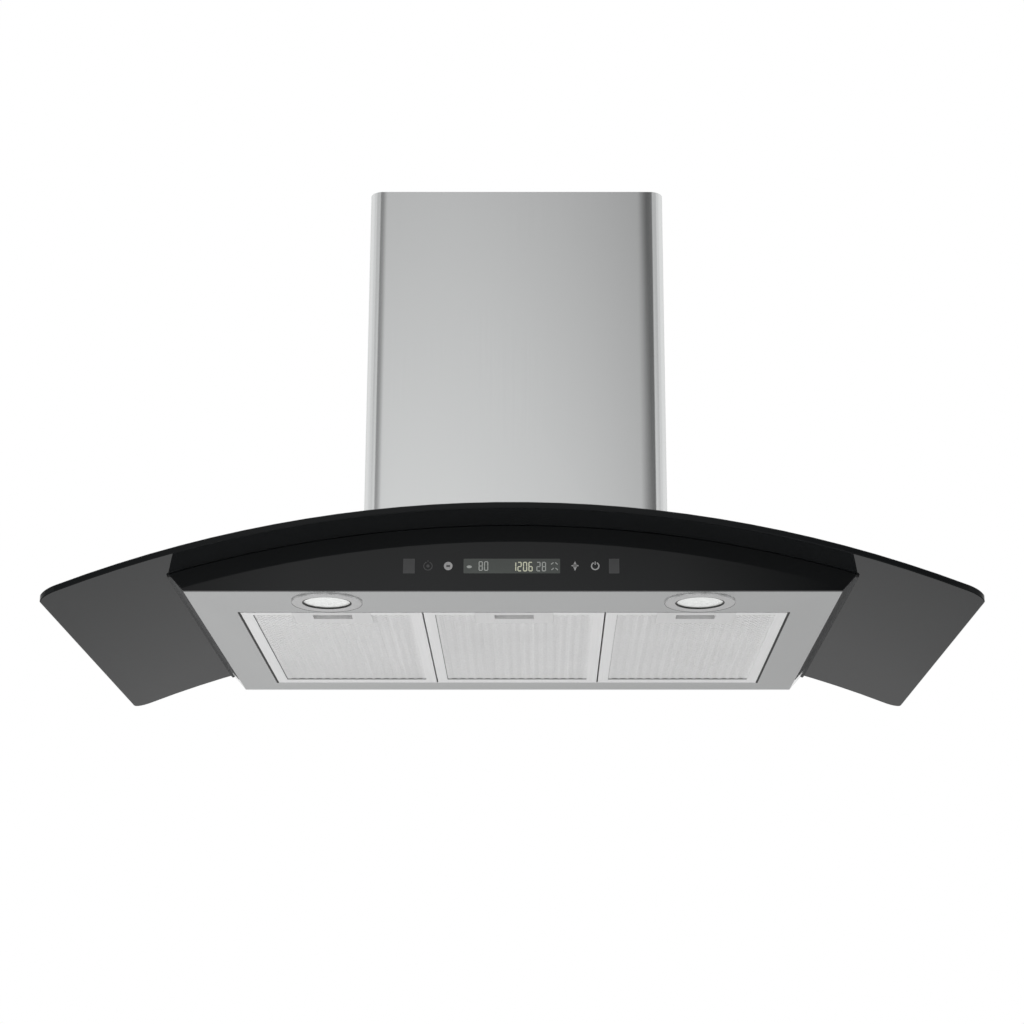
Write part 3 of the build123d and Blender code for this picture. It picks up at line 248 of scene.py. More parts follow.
def mouldedPlastic(name, base, uneven, rough, fine=1800.0, bump=0.12, specular=0.5):
    material, tree, shader, coordinates = startMaterial(name)
    shader.inputs["Specular IOR Level"].default_value = specular
    skin = placeGroup(tree, skinGroup, coordinates, Fine=fine)
    tone = mapRange(tree, skin.outputs["Unevenness"], *colourBand, 0, 1)
    mixColour(tree, tone, base, uneven, shader.inputs["Base Color"])
    mapRange(tree, tone, 0, 1, *rough, shader.inputs["Roughness"])
    addBump(tree, shader, skin.outputs["Bumps"], bump)
    return material


def darkGlass(name, tint, specular, smudge, lift=1.25):
    material, tree, shader, coordinates = startMaterial(name)
    shader.inputs["Specular IOR Level"].default_value = specular
    skin = placeGroup(tree, skinGroup, coordinates, Fine=300.0, Broad=9.0)
    mixColour(tree, skin.outputs["Unevenness"], tint, tuple(channel * lift for channel in tint),
              shader.inputs["Base Color"])
    mapRange(tree, skin.outputs["Unevenness"], *glossBand, *smudge, shader.inputs["Roughness"])
    return material


def glowing(name, base, colour, strength, rough=0.35, dim=0.92):
    material, tree, shader, coordinates = startMaterial(name)
    skin = placeGroup(tree, skinGroup, coordinates, Fine=900.0, Broad=60.0)
    mixColour(tree, skin.outputs["Unevenness"], base, tuple(channel * dim for channel in base),
              shader.inputs["Base Color"])
    shader.inputs["Emission Color"].default_value = (*colour, 1)
    shader.inputs["Emission Strength"].default_value = strength
    shader.inputs["Roughness"].default_value = rough
    return material


finishes = {
    "smoked_glass": darkGlass("canopyGlass", (0.0058, 0.0064, 0.0068), 0.09, (0.02, 0.04)),
    "black_glass": darkGlass("fasciaGlass", (0.0075, 0.0082, 0.0086), 0.2, (0.03, 0.05)),
    "stainless": brushedMetal("brushedStainless", (0.572, 0.58, 0.58), (0.592, 0.6, 0.6), (0.17, 0.2),
                              (500, 500, 5), edgeHighlight=(0.72, 0.72, 0.72), bump=0.01),
    "galvanised": brushedMetal("zincSheet", (0.38, 0.40, 0.42), (0.56, 0.58, 0.6), (0.38, 0.55),
                               (70, 70, 70), bump=0.03, blotch=40.0),
    "spring_steel": brushedMetal("rolledSteel", (0.42, 0.42, 0.43), (0.56, 0.56, 0.57), (0.25, 0.4),
                                 (60, 900, 900)),
    "screws": brushedMetal("zincPlate", (0.5, 0.5, 0.5), (0.68, 0.68, 0.66), (0.22, 0.38), (700, 700, 700)),
    "motor_steel": mouldedPlastic("motorEnamel", (0.022, 0.022, 0.024), (0.04, 0.04, 0.042), (0.35, 0.5)),
    "cast_alloy": brushedMetal("castAlloy", (0.34, 0.35, 0.36), (0.5, 0.51, 0.52), (0.5, 0.65),
                               (900, 900, 900), bump=0.25),
    "lamp_trim": brushedMetal("satinTrim", (0.64, 0.64, 0.64), (0.7, 0.7, 0.7), (0.3, 0.36), (900, 60, 900),
                              bump=0.02),
    "filter_frame": brushedMetal("satinFrame", (0.82, 0.82, 0.82), (0.88, 0.88, 0.88), (0.34, 0.42),
                                 (600, 8, 600), edgeHighlight=(0.95, 0.95, 0.95), bump=0.02, metallic=0.6),
    "filter_mesh": brushedMetal("meshAluminium", (0.82, 0.82, 0.82), (0.92, 0.92, 0.92), (0.35, 0.5),
                                (400, 400, 400), metallic=0.6),
    "lamp_lens": glowing("lampLens", (0.6, 0.61, 0.605), (1.0, 1.0, 0.98), 0.2),
    "black_rubber": mouldedPlastic("blackRubber", (0.014, 0.014, 0.014), (0.024, 0.024, 0.024), (0.6, 0.75)),
    "black_plastic": mouldedPlastic("blackPlastic", (0.018, 0.018, 0.019), (0.03, 0.03, 0.031), (0.42, 0.55)),
    "latch_plastic": mouldedPlastic("latchPlastic", (0.44, 0.44, 0.44), (0.5, 0.5, 0.5), (0.45, 0.6)),
    "grey_plastic": mouldedPlastic("greyPlastic", (0.22, 0.23, 0.235), (0.28, 0.285, 0.29), (0.42, 0.55)),
    "wheel_plastic": mouldedPlastic("wheelPlastic", (0.07, 0.07, 0.075), (0.1, 0.1, 0.105), (0.4, 0.55)),
    "white_plastic": mouldedPlastic("whitePlastic", (0.68, 0.68, 0.66), (0.74, 0.74, 0.72), (0.38, 0.5)),
    "circuit_board": mouldedPlastic("boardLacquer", (0.012, 0.09, 0.035), (0.02, 0.13, 0.05), (0.25, 0.4),
                                    fine=500.0),
    "display": mouldedPlastic("displayWindow", (0.034, 0.041, 0.036), (0.042, 0.05, 0.044), (0.12, 0.2), bump=0.02),
}
slotOf = {row["node"]: row["material_slot"] for row in frame["record"]["subparts"]}
for nodeName, node in cadNodes.items():
    node.data.materials.clear()
    node.data.materials.append(finishes[slotOf[nodeName]])
print("materials made,", len(finishes))


# in metres, as a shader reads them: filter pitch, half width and rear edge of the seat, and the tone the painted shade
# leaves
latchSeat = {"pitch": 0.1856, "half": 0.0402, "back": -0.3246, "tone": 0.86}


def paintLatchSeatShade():
    # the seat sunk behind each latch is painted darker than the borders: painted shade in its recess
    tree = finishes["filter_frame"].node_tree
    socket, base = baseColourOf(tree)
    parts = splitPlace(tree)
    half = latchSeat["pitch"] / 2
    wrapped = addNode(tree, "Math", operation="WRAP")
    tree.links.new(parts["X"], wrapped.inputs[0])
    wrapped.inputs[1].default_value, wrapped.inputs[2].default_value = half, -half
    near = addMath(tree, "LESS_THAN", addMath(tree, "ABSOLUTE", wrapped.outputs[0]), latchSeat["half"])
    behind = addMath(tree, "LESS_THAN", parts["Y"], latchSeat["back"])
    seat = addMath(tree, "MULTIPLY", near, behind)
    mixColour(tree, addMath(tree, "MULTIPLY", seat, 1 - latchSeat["tone"]), base, (0, 0, 0), socket)


paintLatchSeatShade()


# ---- helpers for pieces ----

def keepPiece(name, shape, body, slotName, material=None, stands=()):
    mesh = bpy.data.meshes.new(name)
    shape.to_mesh(mesh)
    shape.free()
    piece = bpy.data.objects.new(name, mesh)
    bpy.context.scene.collection.objects.link(piece)
    piece.data.materials.append(material or finishes[slotName])
    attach(piece, body)
    if stands:
        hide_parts(*stands)
    return piece


sharpFrom = 32  # degrees


def smoothByAngle(shape, degrees=sharpFrom):
    for face in shape.faces:
        face.smooth = True
    for edge in shape.edges:
        edge.smooth = len(edge.link_faces) == 2 and edge.calc_face_angle(0) < math.radians(degrees)


def addBevel(piece, width):
    rounding = piece.modifiers.new("edgeRound", "BEVEL")
    rounding.width = width
    rounding.segments = 2
    rounding.limit_method = "ANGLE"
    rounding.angle_limit = math.radians(sharpFrom)
    rounding.harden_normals = True
    rounding.use_clamp_overlap = True


def bodyOf(nodeName):
    return cadNodes[nodeName]["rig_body"]


# ---- nodes with their edges rounded ----

# width of the rounding on each node, in millimetres
roundedNodes = {
    "glass_canopy": 0.6, "body_shell": 0.25, "chimney_lower": 0.25, "chimney_upper": 0.25,
    "control_fascia": 0.5, "motor_box": 0.3, "terminal_box": 0.6, "terminal_lid": 0.6,
    "outlet_collar": 0.4, "front_partition": 0.2, "ceiling_bracket": 0.25, "chimney_brackets": 0.25,
    "filter_frame_left": 0.45, "filter_frame_centre": 0.45, "filter_frame_right": 0.45,
    "filter_latch_left": 0.5, "filter_latch_centre": 0.5, "filter_latch_right": 0.5,
    "lamp_bezel_left": 0.3, "lamp_bezel_right": 0.3, "lamp_housing_left": 0.3, "lamp_housing_right": 0.3,
    "volute_front": 0.6, "volute_rear": 0.6, "inlet_guard": 0.4, "impeller": 0.15, "motor": 0.8,
    "motor_bracket": 0.3, "lamp_driver": 0.7, "power_unit": 0.7, "control_cover": 0.4,
    "capacitor": 0.5, "capacitor_clip": 0.2, "cable_gland": 0.4, "damper_flap_front": 0.3,
    "damper_flap_rear": 0.3, "canopy_nuts": 0.4, "canopy_liner": 0.2,
}
cleanUp = {"weldWithin": 0.002, "flatWithin": 0.4}  # millimetres, degrees

# the liner's edges show beside the body, so it is lacquered as dark as the pane above it
ownFinish = {
    "canopy_liner": mouldedPlastic("linerLacquer", (0.062, 0.063, 0.064), (0.072, 0.073, 0.074), (0.7, 0.8),
                                   specular=0.1),
}
# the chimney's side bends run out softly over its front, wider on the side away from the light
softBend = {"start": 150, "startWithin": 0.3, "front": -255, "spreadLeft": 5, "spreadRight": 14}


def spreadBend(shape):
    for vert in shape.verts:
        atStart = abs(abs(vert.co.x) - softBend["start"] * mm) < softBend["startWithin"] * mm
        if atStart and vert.co.y < softBend["front"] * mm:
            vert.co.x += softBend["spreadLeft"] * mm if vert.co.x < 0 else -softBend["spreadRight"] * mm


for nodeName, width in roundedNodes.items():
    shape = bmesh.new()
    shape.from_mesh(cadNodes[nodeName].data)
    bmesh.ops.remove_doubles(shape, verts=shape.verts, dist=cleanUp["weldWithin"] * mm)
    bmesh.ops.dissolve_limit(shape, angle_limit=math.radians(cleanUp["flatWithin"]), verts=shape.verts,
                             edges=shape.edges)
    if nodeName in ("chimney_lower", "chimney_upper"):
        spreadBend(shape)
    smoothByAngle(shape)
    piece = keepPiece(nodeName + "_finished", shape, bodyOf(nodeName), slotOf[nodeName], ownFinish.get(nodeName),
                      stands=(nodeName,))
    addBevel(piece, width * mm)
print("rounded nodes made,", len(roundedNodes))


# ---- shapes for small pieces, drawn in millimetres ----

mergeWithin = 0.001
nearAxis = 0.001  # how far beside its axis a head's outline starts and ends


def toMetres(shape, turn=None, place=(0, 0, 0)):
    change = Matrix.Translation(Vector(place)) @ (turn.to_4x4() if turn else Matrix.Identity(4))
    bmesh.ops.transform(shape, matrix=Matrix.Scale(mm, 4) @ change, verts=shape.verts)


def standOn(shape, direction, place):
    # a shape that stands on Z = 0, put on a surface that faces the given way
    toMetres(shape, Vector((0, 0, 1)).rotation_difference(Vector(direction)).to_matrix(), place)


def keepSmall(name, shape, body, slotName, material=None, stands=(), place=(0, 0, 0)):
    toMetres(shape, place=place)
    keepPiece(name, shape, body, slotName, material, stands)


def merge(shapes):
    # several shapes in one, through a scratch mesh
    whole = bmesh.new()
    for shape in shapes:
        scratch = bpy.data.meshes.new("scratch")
        shape.to_mesh(scratch)
        shape.free()
        whole.from_mesh(scratch)
        bpy.data.meshes.remove(scratch)
    return whole


def turned(profile, steps):
    # a profile of (radius, height) points spun once round Z
    shape = bmesh.new()
    points = [shape.verts.new((radius, 0, height)) for radius, height in profile]
    edges = [shape.edges.new(pair) for pair in zip(points, points[1:])]
    bmesh.ops.spin(shape, geom=points + edges, cent=(0, 0, 0), axis=(0, 0, 1), angle=math.tau, steps=steps,
                   use_merge=True)
    bmesh.ops.remove_doubles(shape, verts=shape.verts, dist=mergeWithin)
    bmesh.ops.recalc_face_normals(shape, faces=shape.faces)
    return shape


def wholeOf(shape):
    return shape.verts[:] + shape.edges[:] + shape.faces[:]


def growFaces(shape, faces, move):
    # the faces drawn out by a move, walls and all
    grown = bmesh.ops.extrude_face_region(shape, geom=faces)
    moved = [item for item in grown["geom"] if isinstance(item, bmesh.types.BMVert)]
    bmesh.ops.translate(shape, verts=moved, vec=move)


def raised(shape, thickness):
    # a flat outline in XZ given some body towards the room
    growFaces(shape, list(shape.faces), (0, -thickness, 0))
    bmesh.ops.recalc_face_normals(shape, faces=shape.faces)
    return shape


def faceRoom(shape, centre, change):
    # an outline drawn on XY, changed, then stood up to face the room
    upright = Matrix.Rotation(math.pi / 2, 4, "X") @ change
    bmesh.ops.transform(shape, matrix=Matrix.Translation(Vector(centre)) @ upright, verts=shape.verts)


def flatSheet(centre, length, width, lean=0.0):
    shape = bmesh.new()
    bmesh.ops.create_grid(shape, x_segments=1, y_segments=1, size=0.5)
    faceRoom(shape, centre, Matrix.Rotation(lean, 4, "Z") @ Matrix.Diagonal((length, width, 1, 1)))
    return shape


def bar(centre, length, width, thickness, lean=0.0):
    return raised(flatSheet(centre, length, width, lean), thickness)


def polygonPlate(centre, reach, sides, thickness, stretch=(1, 1)):
    shape = bmesh.new()
    bmesh.ops.create_circle(shape, cap_ends=True, segments=sides, radius=reach)
    faceRoom(shape, centre, Matrix.Diagonal((*stretch, 1, 1)))
    return raised(shape, thickness)


def ringPlate(centre, outer, inner, steps, thickness, gap=0.0):
    # a flat ring facing the room, open at the top by the gap angle
    shape = bmesh.new()
    ends = [shape.verts.new((math.sin(gap / 2) * radius, 0, math.cos(gap / 2) * radius)) for radius in (inner, outer)]
    edge = shape.edges.new(ends)
    bmesh.ops.spin(shape, geom=[*ends, edge], cent=(0, 0, 0), axis=(0, 1, 0), angle=math.tau - gap, steps=steps,
                   use_merge=gap == 0)
    bmesh.ops.translate(shape, verts=shape.verts, vec=centre)
    return raised(shape, thickness)


def boxPlace(centre, size):
    return Matrix.Translation(centre) @ Matrix.Diagonal((*size, 1))


def roundedBox(place, rounding, segments=2, onlyAlongY=False):
    # a unit cube stretched and put in place by a matrix
    shape = bmesh.new()
    bmesh.ops.create_cube(shape, size=1)
    bmesh.ops.transform(shape, matrix=place, verts=shape.verts)
    edges = shape.edges[:]
    if onlyAlongY:
        edges = [edge for edge in edges if abs(edge.verts[0].co.y - edge.verts[1].co.y) > edge.calc_length() / 2]
    bmesh.ops.bevel(shape, geom=edges, offset=rounding, segments=segments, profile=0.5, affect="EDGES", material=-1)
    return shape


# ---- control panel: display and printed signs, a hair in front of the fascia ----

panel = {
    "front": -458.0,
    "height": 25.0,
    "skin": 0.06,  # how far each layer stands in front of the last
}
skin = panel["skin"]
middle = panel["height"]
paneFront = panel["front"] - skin


def onFascia(x, up=0.0):
    return (x, panel["front"], middle + up)


def onPane(x, up=0.0):
    return (x, paneFront, middle + up)


paneFacts = {"x": -1.1, "length": 94.4, "height": 14.8, "corner": 0.8}
pane = flatSheet(onFascia(paneFacts["x"]), paneFacts["length"], paneFacts["height"])
bmesh.ops.bevel(pane, geom=pane.verts, offset=paneFacts["corner"], offset_type="OFFSET", segments=3, profile=0.5,
                affect="VERTICES", material=-1)
keepSmall("displayPane", raised(pane, skin), "hood", "display")

digitFacts = {
    "height": 9.6, "width": 4.1, "stroke": 0.95, "pitch": 5.35,
    "levelGap": 1.3, "uprightGap": 0.9,  # what a stroke leaves free at its ends, in stroke widths
}
# the strokes of each figure in use; each stroke's place in shares of the figure, and whether it lies level
segmentsOf = {"0": "abcdef", "1": "bc", "2": "abged", "6": "afgedc", "8": "abcdefg"}
segmentPlaces = {
    "a": (0, 0.5, True), "g": (0, 0, True), "d": (0, -0.5, True),
    "f": (-0.5, 0.25, False), "b": (0.5, 0.25, False), "e": (-0.5, -0.25, False), "c": (0.5, -0.25, False),
}


def digitShapes(text, left, up):
    width, height, stroke = (digitFacts[key] for key in ("width", "height", "stroke"))
    levelLength = width - digitFacts["levelGap"] * stroke
    uprightLength = height / 2 - digitFacts["uprightGap"] * stroke
    shapes = []
    for place, sign in enumerate(text):
        centre = left + width / 2 + place * digitFacts["pitch"]
        for segment in segmentsOf[sign]:
            shareAcross, shareUp, level = segmentPlaces[segment]
            point = onPane(centre + shareAcross * (width - stroke), up + shareUp * (height - stroke))
            size = (levelLength, stroke) if level else (stroke, uprightLength)
            shapes.append(bar(point, *size, skin))
    return shapes


# text, left end, and how far above the middle of the strip
clock = ("1206", -0.9, -0.6)
readings = (("80", -33.6, 0.0), ("28", 22.9, -0.6))
arrows = {"places": ((38.4, 2.6), (42.6, 2.6), (38.8, -3.0), (42.8, -3.0)), "middle": 40, "size": (3.0, 0.9),
          "lean": 0.7}
eye = {"x": -42.7, "up": -0.8, "reach": 2.6, "sides": 12, "stretch": (1, 0.55)}

keepSmall("clockDigits", merge(digitShapes(*clock)), "hood", "display",
          glowing("clockGlow", (0.3, 0.3, 0.26), (0.88, 0.9, 0.62), 0.3))

greyDigits = [shape for reading in readings for shape in digitShapes(*reading)]
for x, up in arrows["places"]:
    lean = math.copysign(arrows["lean"], arrows["middle"] - x)
    greyDigits.append(bar(onPane(x, up), *arrows["size"], skin, lean=lean))
greyDigits.append(polygonPlate(onPane(eye["x"], eye["up"]), eye["reach"], eye["sides"], skin, stretch=eye["stretch"]))
keepSmall("greyDigits", merge(greyDigits), "hood", "display",
          glowing("digitGrey", (0.2, 0.21, 0.2), (0.8, 0.84, 0.8), 0.14))

minus = {"x": -63.3, "outer": 4.2, "inner": 1.9, "bars": (1.35, -1.35), "size": (3.8, 1.2)}
star = {"x": 60.7, "tall": 4.9, "slim": 0.42, "wide": 3.8, "low": 0.5, "up": 0.3}
power = {"x": 80.4, "outer": 4.2, "inner": 3.0, "gap": 0.9, "stemUp": 2.9, "stem": (0.9, 3.4)}
brightSigns = [
    ringPlate(onFascia(minus["x"]), minus["outer"], minus["inner"], 24, skin),
    *(bar(onFascia(minus["x"], up), *minus["size"], skin) for up in minus["bars"]),
    polygonPlate(onFascia(star["x"]), star["tall"], 4, skin, stretch=(star["slim"], 1)),
    polygonPlate(onFascia(star["x"], star["up"]), star["wide"], 4, skin, stretch=(1, star["low"])),
    ringPlate(onFascia(power["x"]), power["outer"], power["inner"], 30, skin, gap=power["gap"]),
    bar(onFascia(power["x"], power["stemUp"]), *power["stem"], skin),
]
keepSmall("touchSigns", merge(brightSigns), "hood", "black_glass",
          glowing("signPrint", (0.26, 0.26, 0.26), (0.8, 0.8, 0.8), 0.1))

fields = ((-101.7, 11.4, 15.0), (98.9, 10.2, 15.0))  # middle, length and height of the faint end fields
timer = {"x": -83.1, "outer": 4.6, "inner": 3.7, "gap": 0.7, "hub": 1.7, "stemUp": 4.9, "stem": (0.8, 1.8)}
faintSigns = [
    *(bar(onFascia(x), length, height, skin) for x, length, height in fields),
    ringPlate(onFascia(timer["x"]), timer["outer"], timer["inner"], 24, skin, gap=timer["gap"]),
    polygonPlate(onFascia(timer["x"]), timer["hub"], 6, skin),
    bar(onFascia(timer["x"], timer["stemUp"]), *timer["stem"], skin),
]
keepSmall("faintSigns", merge(faintSigns), "hood", "black_glass",
          mouldedPlastic("faintPrint", (0.034, 0.035, 0.036), (0.04, 0.041, 0.042), (0.3, 0.4), bump=0.02))
print("control panel made")


# ---- lamps: faceted lenses, lens seals and the turned lip of each bezel, a dark ring that stands for the bezel's shadow line ----

lampFacts = {"x": 185.5, "y": -414.0}
lensFacts = {
    # (radius, height) from the front round to the back, which leaves a pinhole of 1 mm on the axis
    "profile": [(0.5, 0.5), (5, 1.0), (10, 0.45), (15, 1.0), (20, 0.45), (24.4, 0.9), (28.4, 0.3), (28.4, 2.0),
                (0.5, 2.0)],
    "steps": 24, "facetsFrom": 2, "facetsTo": 23, "facetRise": 0.5,
}
sealFacts = {"outer": 24.3, "inner": 23.5, "throat": 23.3, "low": -1.25, "slope": -0.9, "high": 0.35, "steps": 48}
sealProfile = [(sealFacts[across], sealFacts[up]) for across, up in (
    ("outer", "low"), ("inner", "low"), ("throat", "slope"), ("throat", "high"), ("outer", "high"), ("outer", "low"))]
lipFacts = {"radius": 34.85, "tube": 0.5, "level": -1.2, "tubeSides": 8, "steps": 72, "smooth": 60}
# the lip is painted: dark as a painted shadow at its rear, turning to painted light towards its front
lipPaintedShade = {"from": -0.410, "to": -0.424, "colour": (0.6, 0.6, 0.6)}  # metres, where the lip turns bright
lipShadowMetal = brushedMetal("bezelLipPaintedShadow", (0.16, 0.16, 0.165), (0.2, 0.2, 0.205), (0.2, 0.3), (300, 300, 300))


def paintLightAndShadeAlong(material, axis, low, high, target):
    # the base colour of a finish eased towards another between two places on one axis, to paint light and shade along
    # it
    tree = material.node_tree
    socket, base = baseColourOf(tree)
    mixColour(tree, mapRange(tree, splitPlace(tree)[axis], low, high, 0, 1), base, target, socket)


def lensShape():
    shape = turned(lensFacts["profile"], lensFacts["steps"])
    for vert in shape.verts:
        step = round(math.atan2(vert.co.y, vert.co.x) / math.tau * lensFacts["steps"])
        if step % 2 and lensFacts["facetsFrom"] < vert.co.xy.length < lensFacts["facetsTo"]:
            vert.co.z += lensFacts["facetRise"]
    return shape


def sealShape():
    shape = turned(sealProfile, sealFacts["steps"])
    smoothByAngle(shape)
    return shape


def lipShape():
    shape = bmesh.new()
    bmesh.ops.create_circle(shape, segments=lipFacts["tubeSides"], radius=lipFacts["tube"])
    stand = Matrix.Translation((lipFacts["radius"], 0, lipFacts["level"])) @ Matrix.Rotation(math.pi / 2, 4, "X")
    bmesh.ops.transform(shape, matrix=stand, verts=shape.verts)
    bmesh.ops.spin(shape, geom=shape.verts[:] + shape.edges[:], cent=(0, 0, 0), axis=(0, 0, 1), angle=math.tau,
                   steps=lipFacts["steps"], use_merge=True)
    bmesh.ops.recalc_face_normals(shape, faces=shape.faces)
    smoothByAngle(shape, lipFacts["smooth"])
    return shape


paintLightAndShadeAlong(lipShadowMetal, "Y", lipPaintedShade["from"], lipPaintedShade["to"], lipPaintedShade["colour"])
for sideName, side in (("left", -1), ("right", 1)):
    centre = (side * lampFacts["x"], lampFacts["y"], 0)
    keepSmall("lamp_lens_%s_facets" % sideName, lensShape(), "hood", "lamp_lens",
              stands=("lamp_lens_%s" % sideName,), place=centre)
    keepSmall("lensSeal_%s" % sideName, sealShape(), "hood", "black_rubber", place=centre)
    keepSmall("bezelLip_%s" % sideName, lipShape(), "hood", "lamp_trim", lipShadowMetal, place=centre)
print("lamps made")


# ---- grease filters: expanded sheet under each mesh pack, and seals at the sides of the opening ----

filterSides = (("left", -1), ("centre", 0), ("right", 1))
# the window of the middle filter, and the seat behind its latch, which the sheet leaves free
windowFacts = {"pitch": 185.6, "half": 80.5, "front": -360.9, "back": -54.6, "seatHalf": 40.0, "seatBack": -324.9,
               "seatRim": 0.3}
windowMiddle = (windowFacts["front"] + windowFacts["back"]) / 2
sheetFacts = {
    "longWay": 5.2, "shortWay": 8.4, "strand": 0.75, "thickness": 0.35,
    "level": 1.35, "pleatPitch": 9.7, "pleatDepth": 0.8, "pleats": 16,
}


def expandedSheet(centre):
    # a lattice of quads turned on its corner, each opened into a frame, then trimmed to the window
    facts, window = sheetFacts, windowFacts
    shape = bmesh.new()
    depth = window["back"] - window["front"]
    across = int(2 * window["half"] / facts["longWay"] + depth / facts["shortWay"]) + 2
    bmesh.ops.create_grid(shape, x_segments=across, y_segments=across, size=across / 2)
    turn = Matrix.Rotation(math.pi / 4, 4, "Z")
    stretch = Matrix.Diagonal((facts["longWay"] / math.sqrt(2), facts["shortWay"] / math.sqrt(2), 1, 1))
    bmesh.ops.transform(shape, matrix=Matrix.Translation((centre, windowMiddle, 0)) @ stretch @ turn,
                        verts=shape.verts)
    for point, normal in (((centre + window["half"], 0, 0), (1, 0, 0)), ((centre - window["half"], 0, 0), (-1, 0, 0)),
                          ((0, window["back"], 0), (0, 1, 0)), ((0, window["front"], 0), (0, -1, 0))):
        bmesh.ops.bisect_plane(shape, geom=wholeOf(shape), plane_co=point, plane_no=normal, clear_outer=True)
    holes = list(shape.faces)
    bmesh.ops.inset_individual(shape, faces=holes, thickness=facts["strand"] / 2, use_even_offset=True)
    bmesh.ops.delete(shape, geom=holes, context="FACES_ONLY")
    covered = []
    for face in shape.faces:
        spot = face.calc_center_median()
        overSeat = abs(spot.x - centre) < window["seatHalf"] + window["seatRim"]
        if overSeat and spot.y < window["seatBack"] + window["seatRim"]:
            covered.append(face)
    bmesh.ops.delete(shape, geom=covered, context="FACES")
    bmesh.ops.solidify(shape, geom=shape.faces[:], thickness=facts["thickness"])
    start = centre - facts["pleats"] * facts["pleatPitch"] / 2
    for vert in shape.verts:
        along = (vert.co.x - start) / facts["pleatPitch"] % 1
        vert.co.z += facts["level"] + facts["pleatDepth"] * (1 - abs(2 * along - 1))
    bmesh.ops.recalc_face_normals(shape, faces=shape.faces)
    return shape


for sideName, offset in filterSides:
    sheet = expandedSheet(offset * windowFacts["pitch"])
    print("expanded sheet", sideName, len(sheet.faces))
    keepSmall("expandedSheet_%s" % sideName, sheet, "filter_%s" % sideName, "filter_mesh")

openingFacts = {"half": 280.1, "front": -371.3, "back": -38.2, "strip": 2.2, "low": -0.3, "high": 0.0, "rounding": 0.1}


def openingSeal(side):
    facts = openingFacts
    centre = (side * (facts["half"] - facts["strip"] / 2), (facts["front"] + facts["back"]) / 2,
              (facts["low"] + facts["high"]) / 2)
    size = (facts["strip"], facts["back"] - facts["front"], facts["high"] - facts["low"])
    return roundedBox(boxPlace(centre, size), facts["rounding"], onlyAlongY=True)


keepSmall("openingSeals", merge([openingSeal(-1), openingSeal(1)]), "hood", "black_rubber")

sideFacts = {
    "bottomHalf": 321.7, "lean": 0.895,  # half width of the body below, and how far it widens per height
    "low": 0.5, "high": 16.6, "front": -452.6, "back": -52.0, "thickness": 0.3, "rounding": 0.1,
}
trimRubber = mouldedPlastic("sideTrimRubber", (0.09, 0.091, 0.092), (0.1, 0.101, 0.102), (0.8, 0.9), specular=0.05)


def sideTrim(side):
    # a thin plate laid on the leaning side wall
    facts = sideFacts
    middleUp = (facts["low"] + facts["high"]) / 2
    run = Vector((side * facts["lean"] * (facts["high"] - facts["low"]), 0, facts["high"] - facts["low"]))
    turn = Vector((0, 0, 1)).rotation_difference(run).to_matrix().to_4x4()
    outward = turn.to_3x3() @ Vector((side, 0, 0))
    centre = Vector((side * (facts["bottomHalf"] + facts["lean"] * middleUp), (facts["front"] + facts["back"]) / 2,
                     middleUp)) + outward * facts["thickness"] / 2
    size = Matrix.Diagonal((facts["thickness"], facts["back"] - facts["front"], run.length, 1))
    return roundedBox(Matrix.Translation(centre) @ turn @ size, facts["rounding"])


keepSmall("sideTrims", merge([sideTrim(-1), sideTrim(1)]), "hood", "black_rubber", trimRubber)

# dark strips put where the window recess has shade on its left and rear walls: painted shade
recessFacts = {"low": 0.35, "high": 1.45, "skin": 0.3, "rounding": 0.08}
recessShadeStrip = mouldedPlastic("recessShadeStrip", (0.1, 0.1, 0.1), (0.13, 0.13, 0.13), (0.5, 0.7))


def recessShadeStrips(centre):
    # a dark strip along the left side and along the back of a filter's window: painted shade in its recess
    half, front, back = (windowFacts[key] for key in ("half", "front", "back"))
    thin, tall = recessFacts["skin"], recessFacts["high"] - recessFacts["low"]
    level = recessFacts["low"] + tall / 2
    sides = (((centre - half + thin / 2, windowMiddle, level), (thin, back - front, tall)),
             ((centre, back - thin / 2, level), (2 * half - 2 * thin, thin, tall)))
    return merge([roundedBox(boxPlace(*side), recessFacts["rounding"], segments=1) for side in sides])


for sideName, offset in filterSides:
    keepSmall("recessSeal_%s" % sideName, recessShadeStrips(offset * windowFacts["pitch"]), "filter_%s" % sideName,
              "black_rubber", recessShadeStrip)
print("filters made")


# ---- screw heads and rivets ----

# outlines from the top to the foot, in shares of radius and height
headOutline = ((0.3, 0.98), (0.62, 0.9), (0.86, 0.62), (1, 0.2), (1, 0))
rivetOutline = ((0.5, 0.93), (0.85, 0.6), (1, 0))
headFacts = {
    "steps": 20, "smooth": 40,
    "crossHalf": 0.14, "crossReach": 0.62, "crossLow": 0.8, "crossDepth": 0.55,  # shares of radius or height
}


def domed(outline, radius, height, steps):
    profile = [(radius * across, height * up) for across, up in outline]
    return turned([(nearAxis, height), *profile, (nearAxis, 0)], steps)


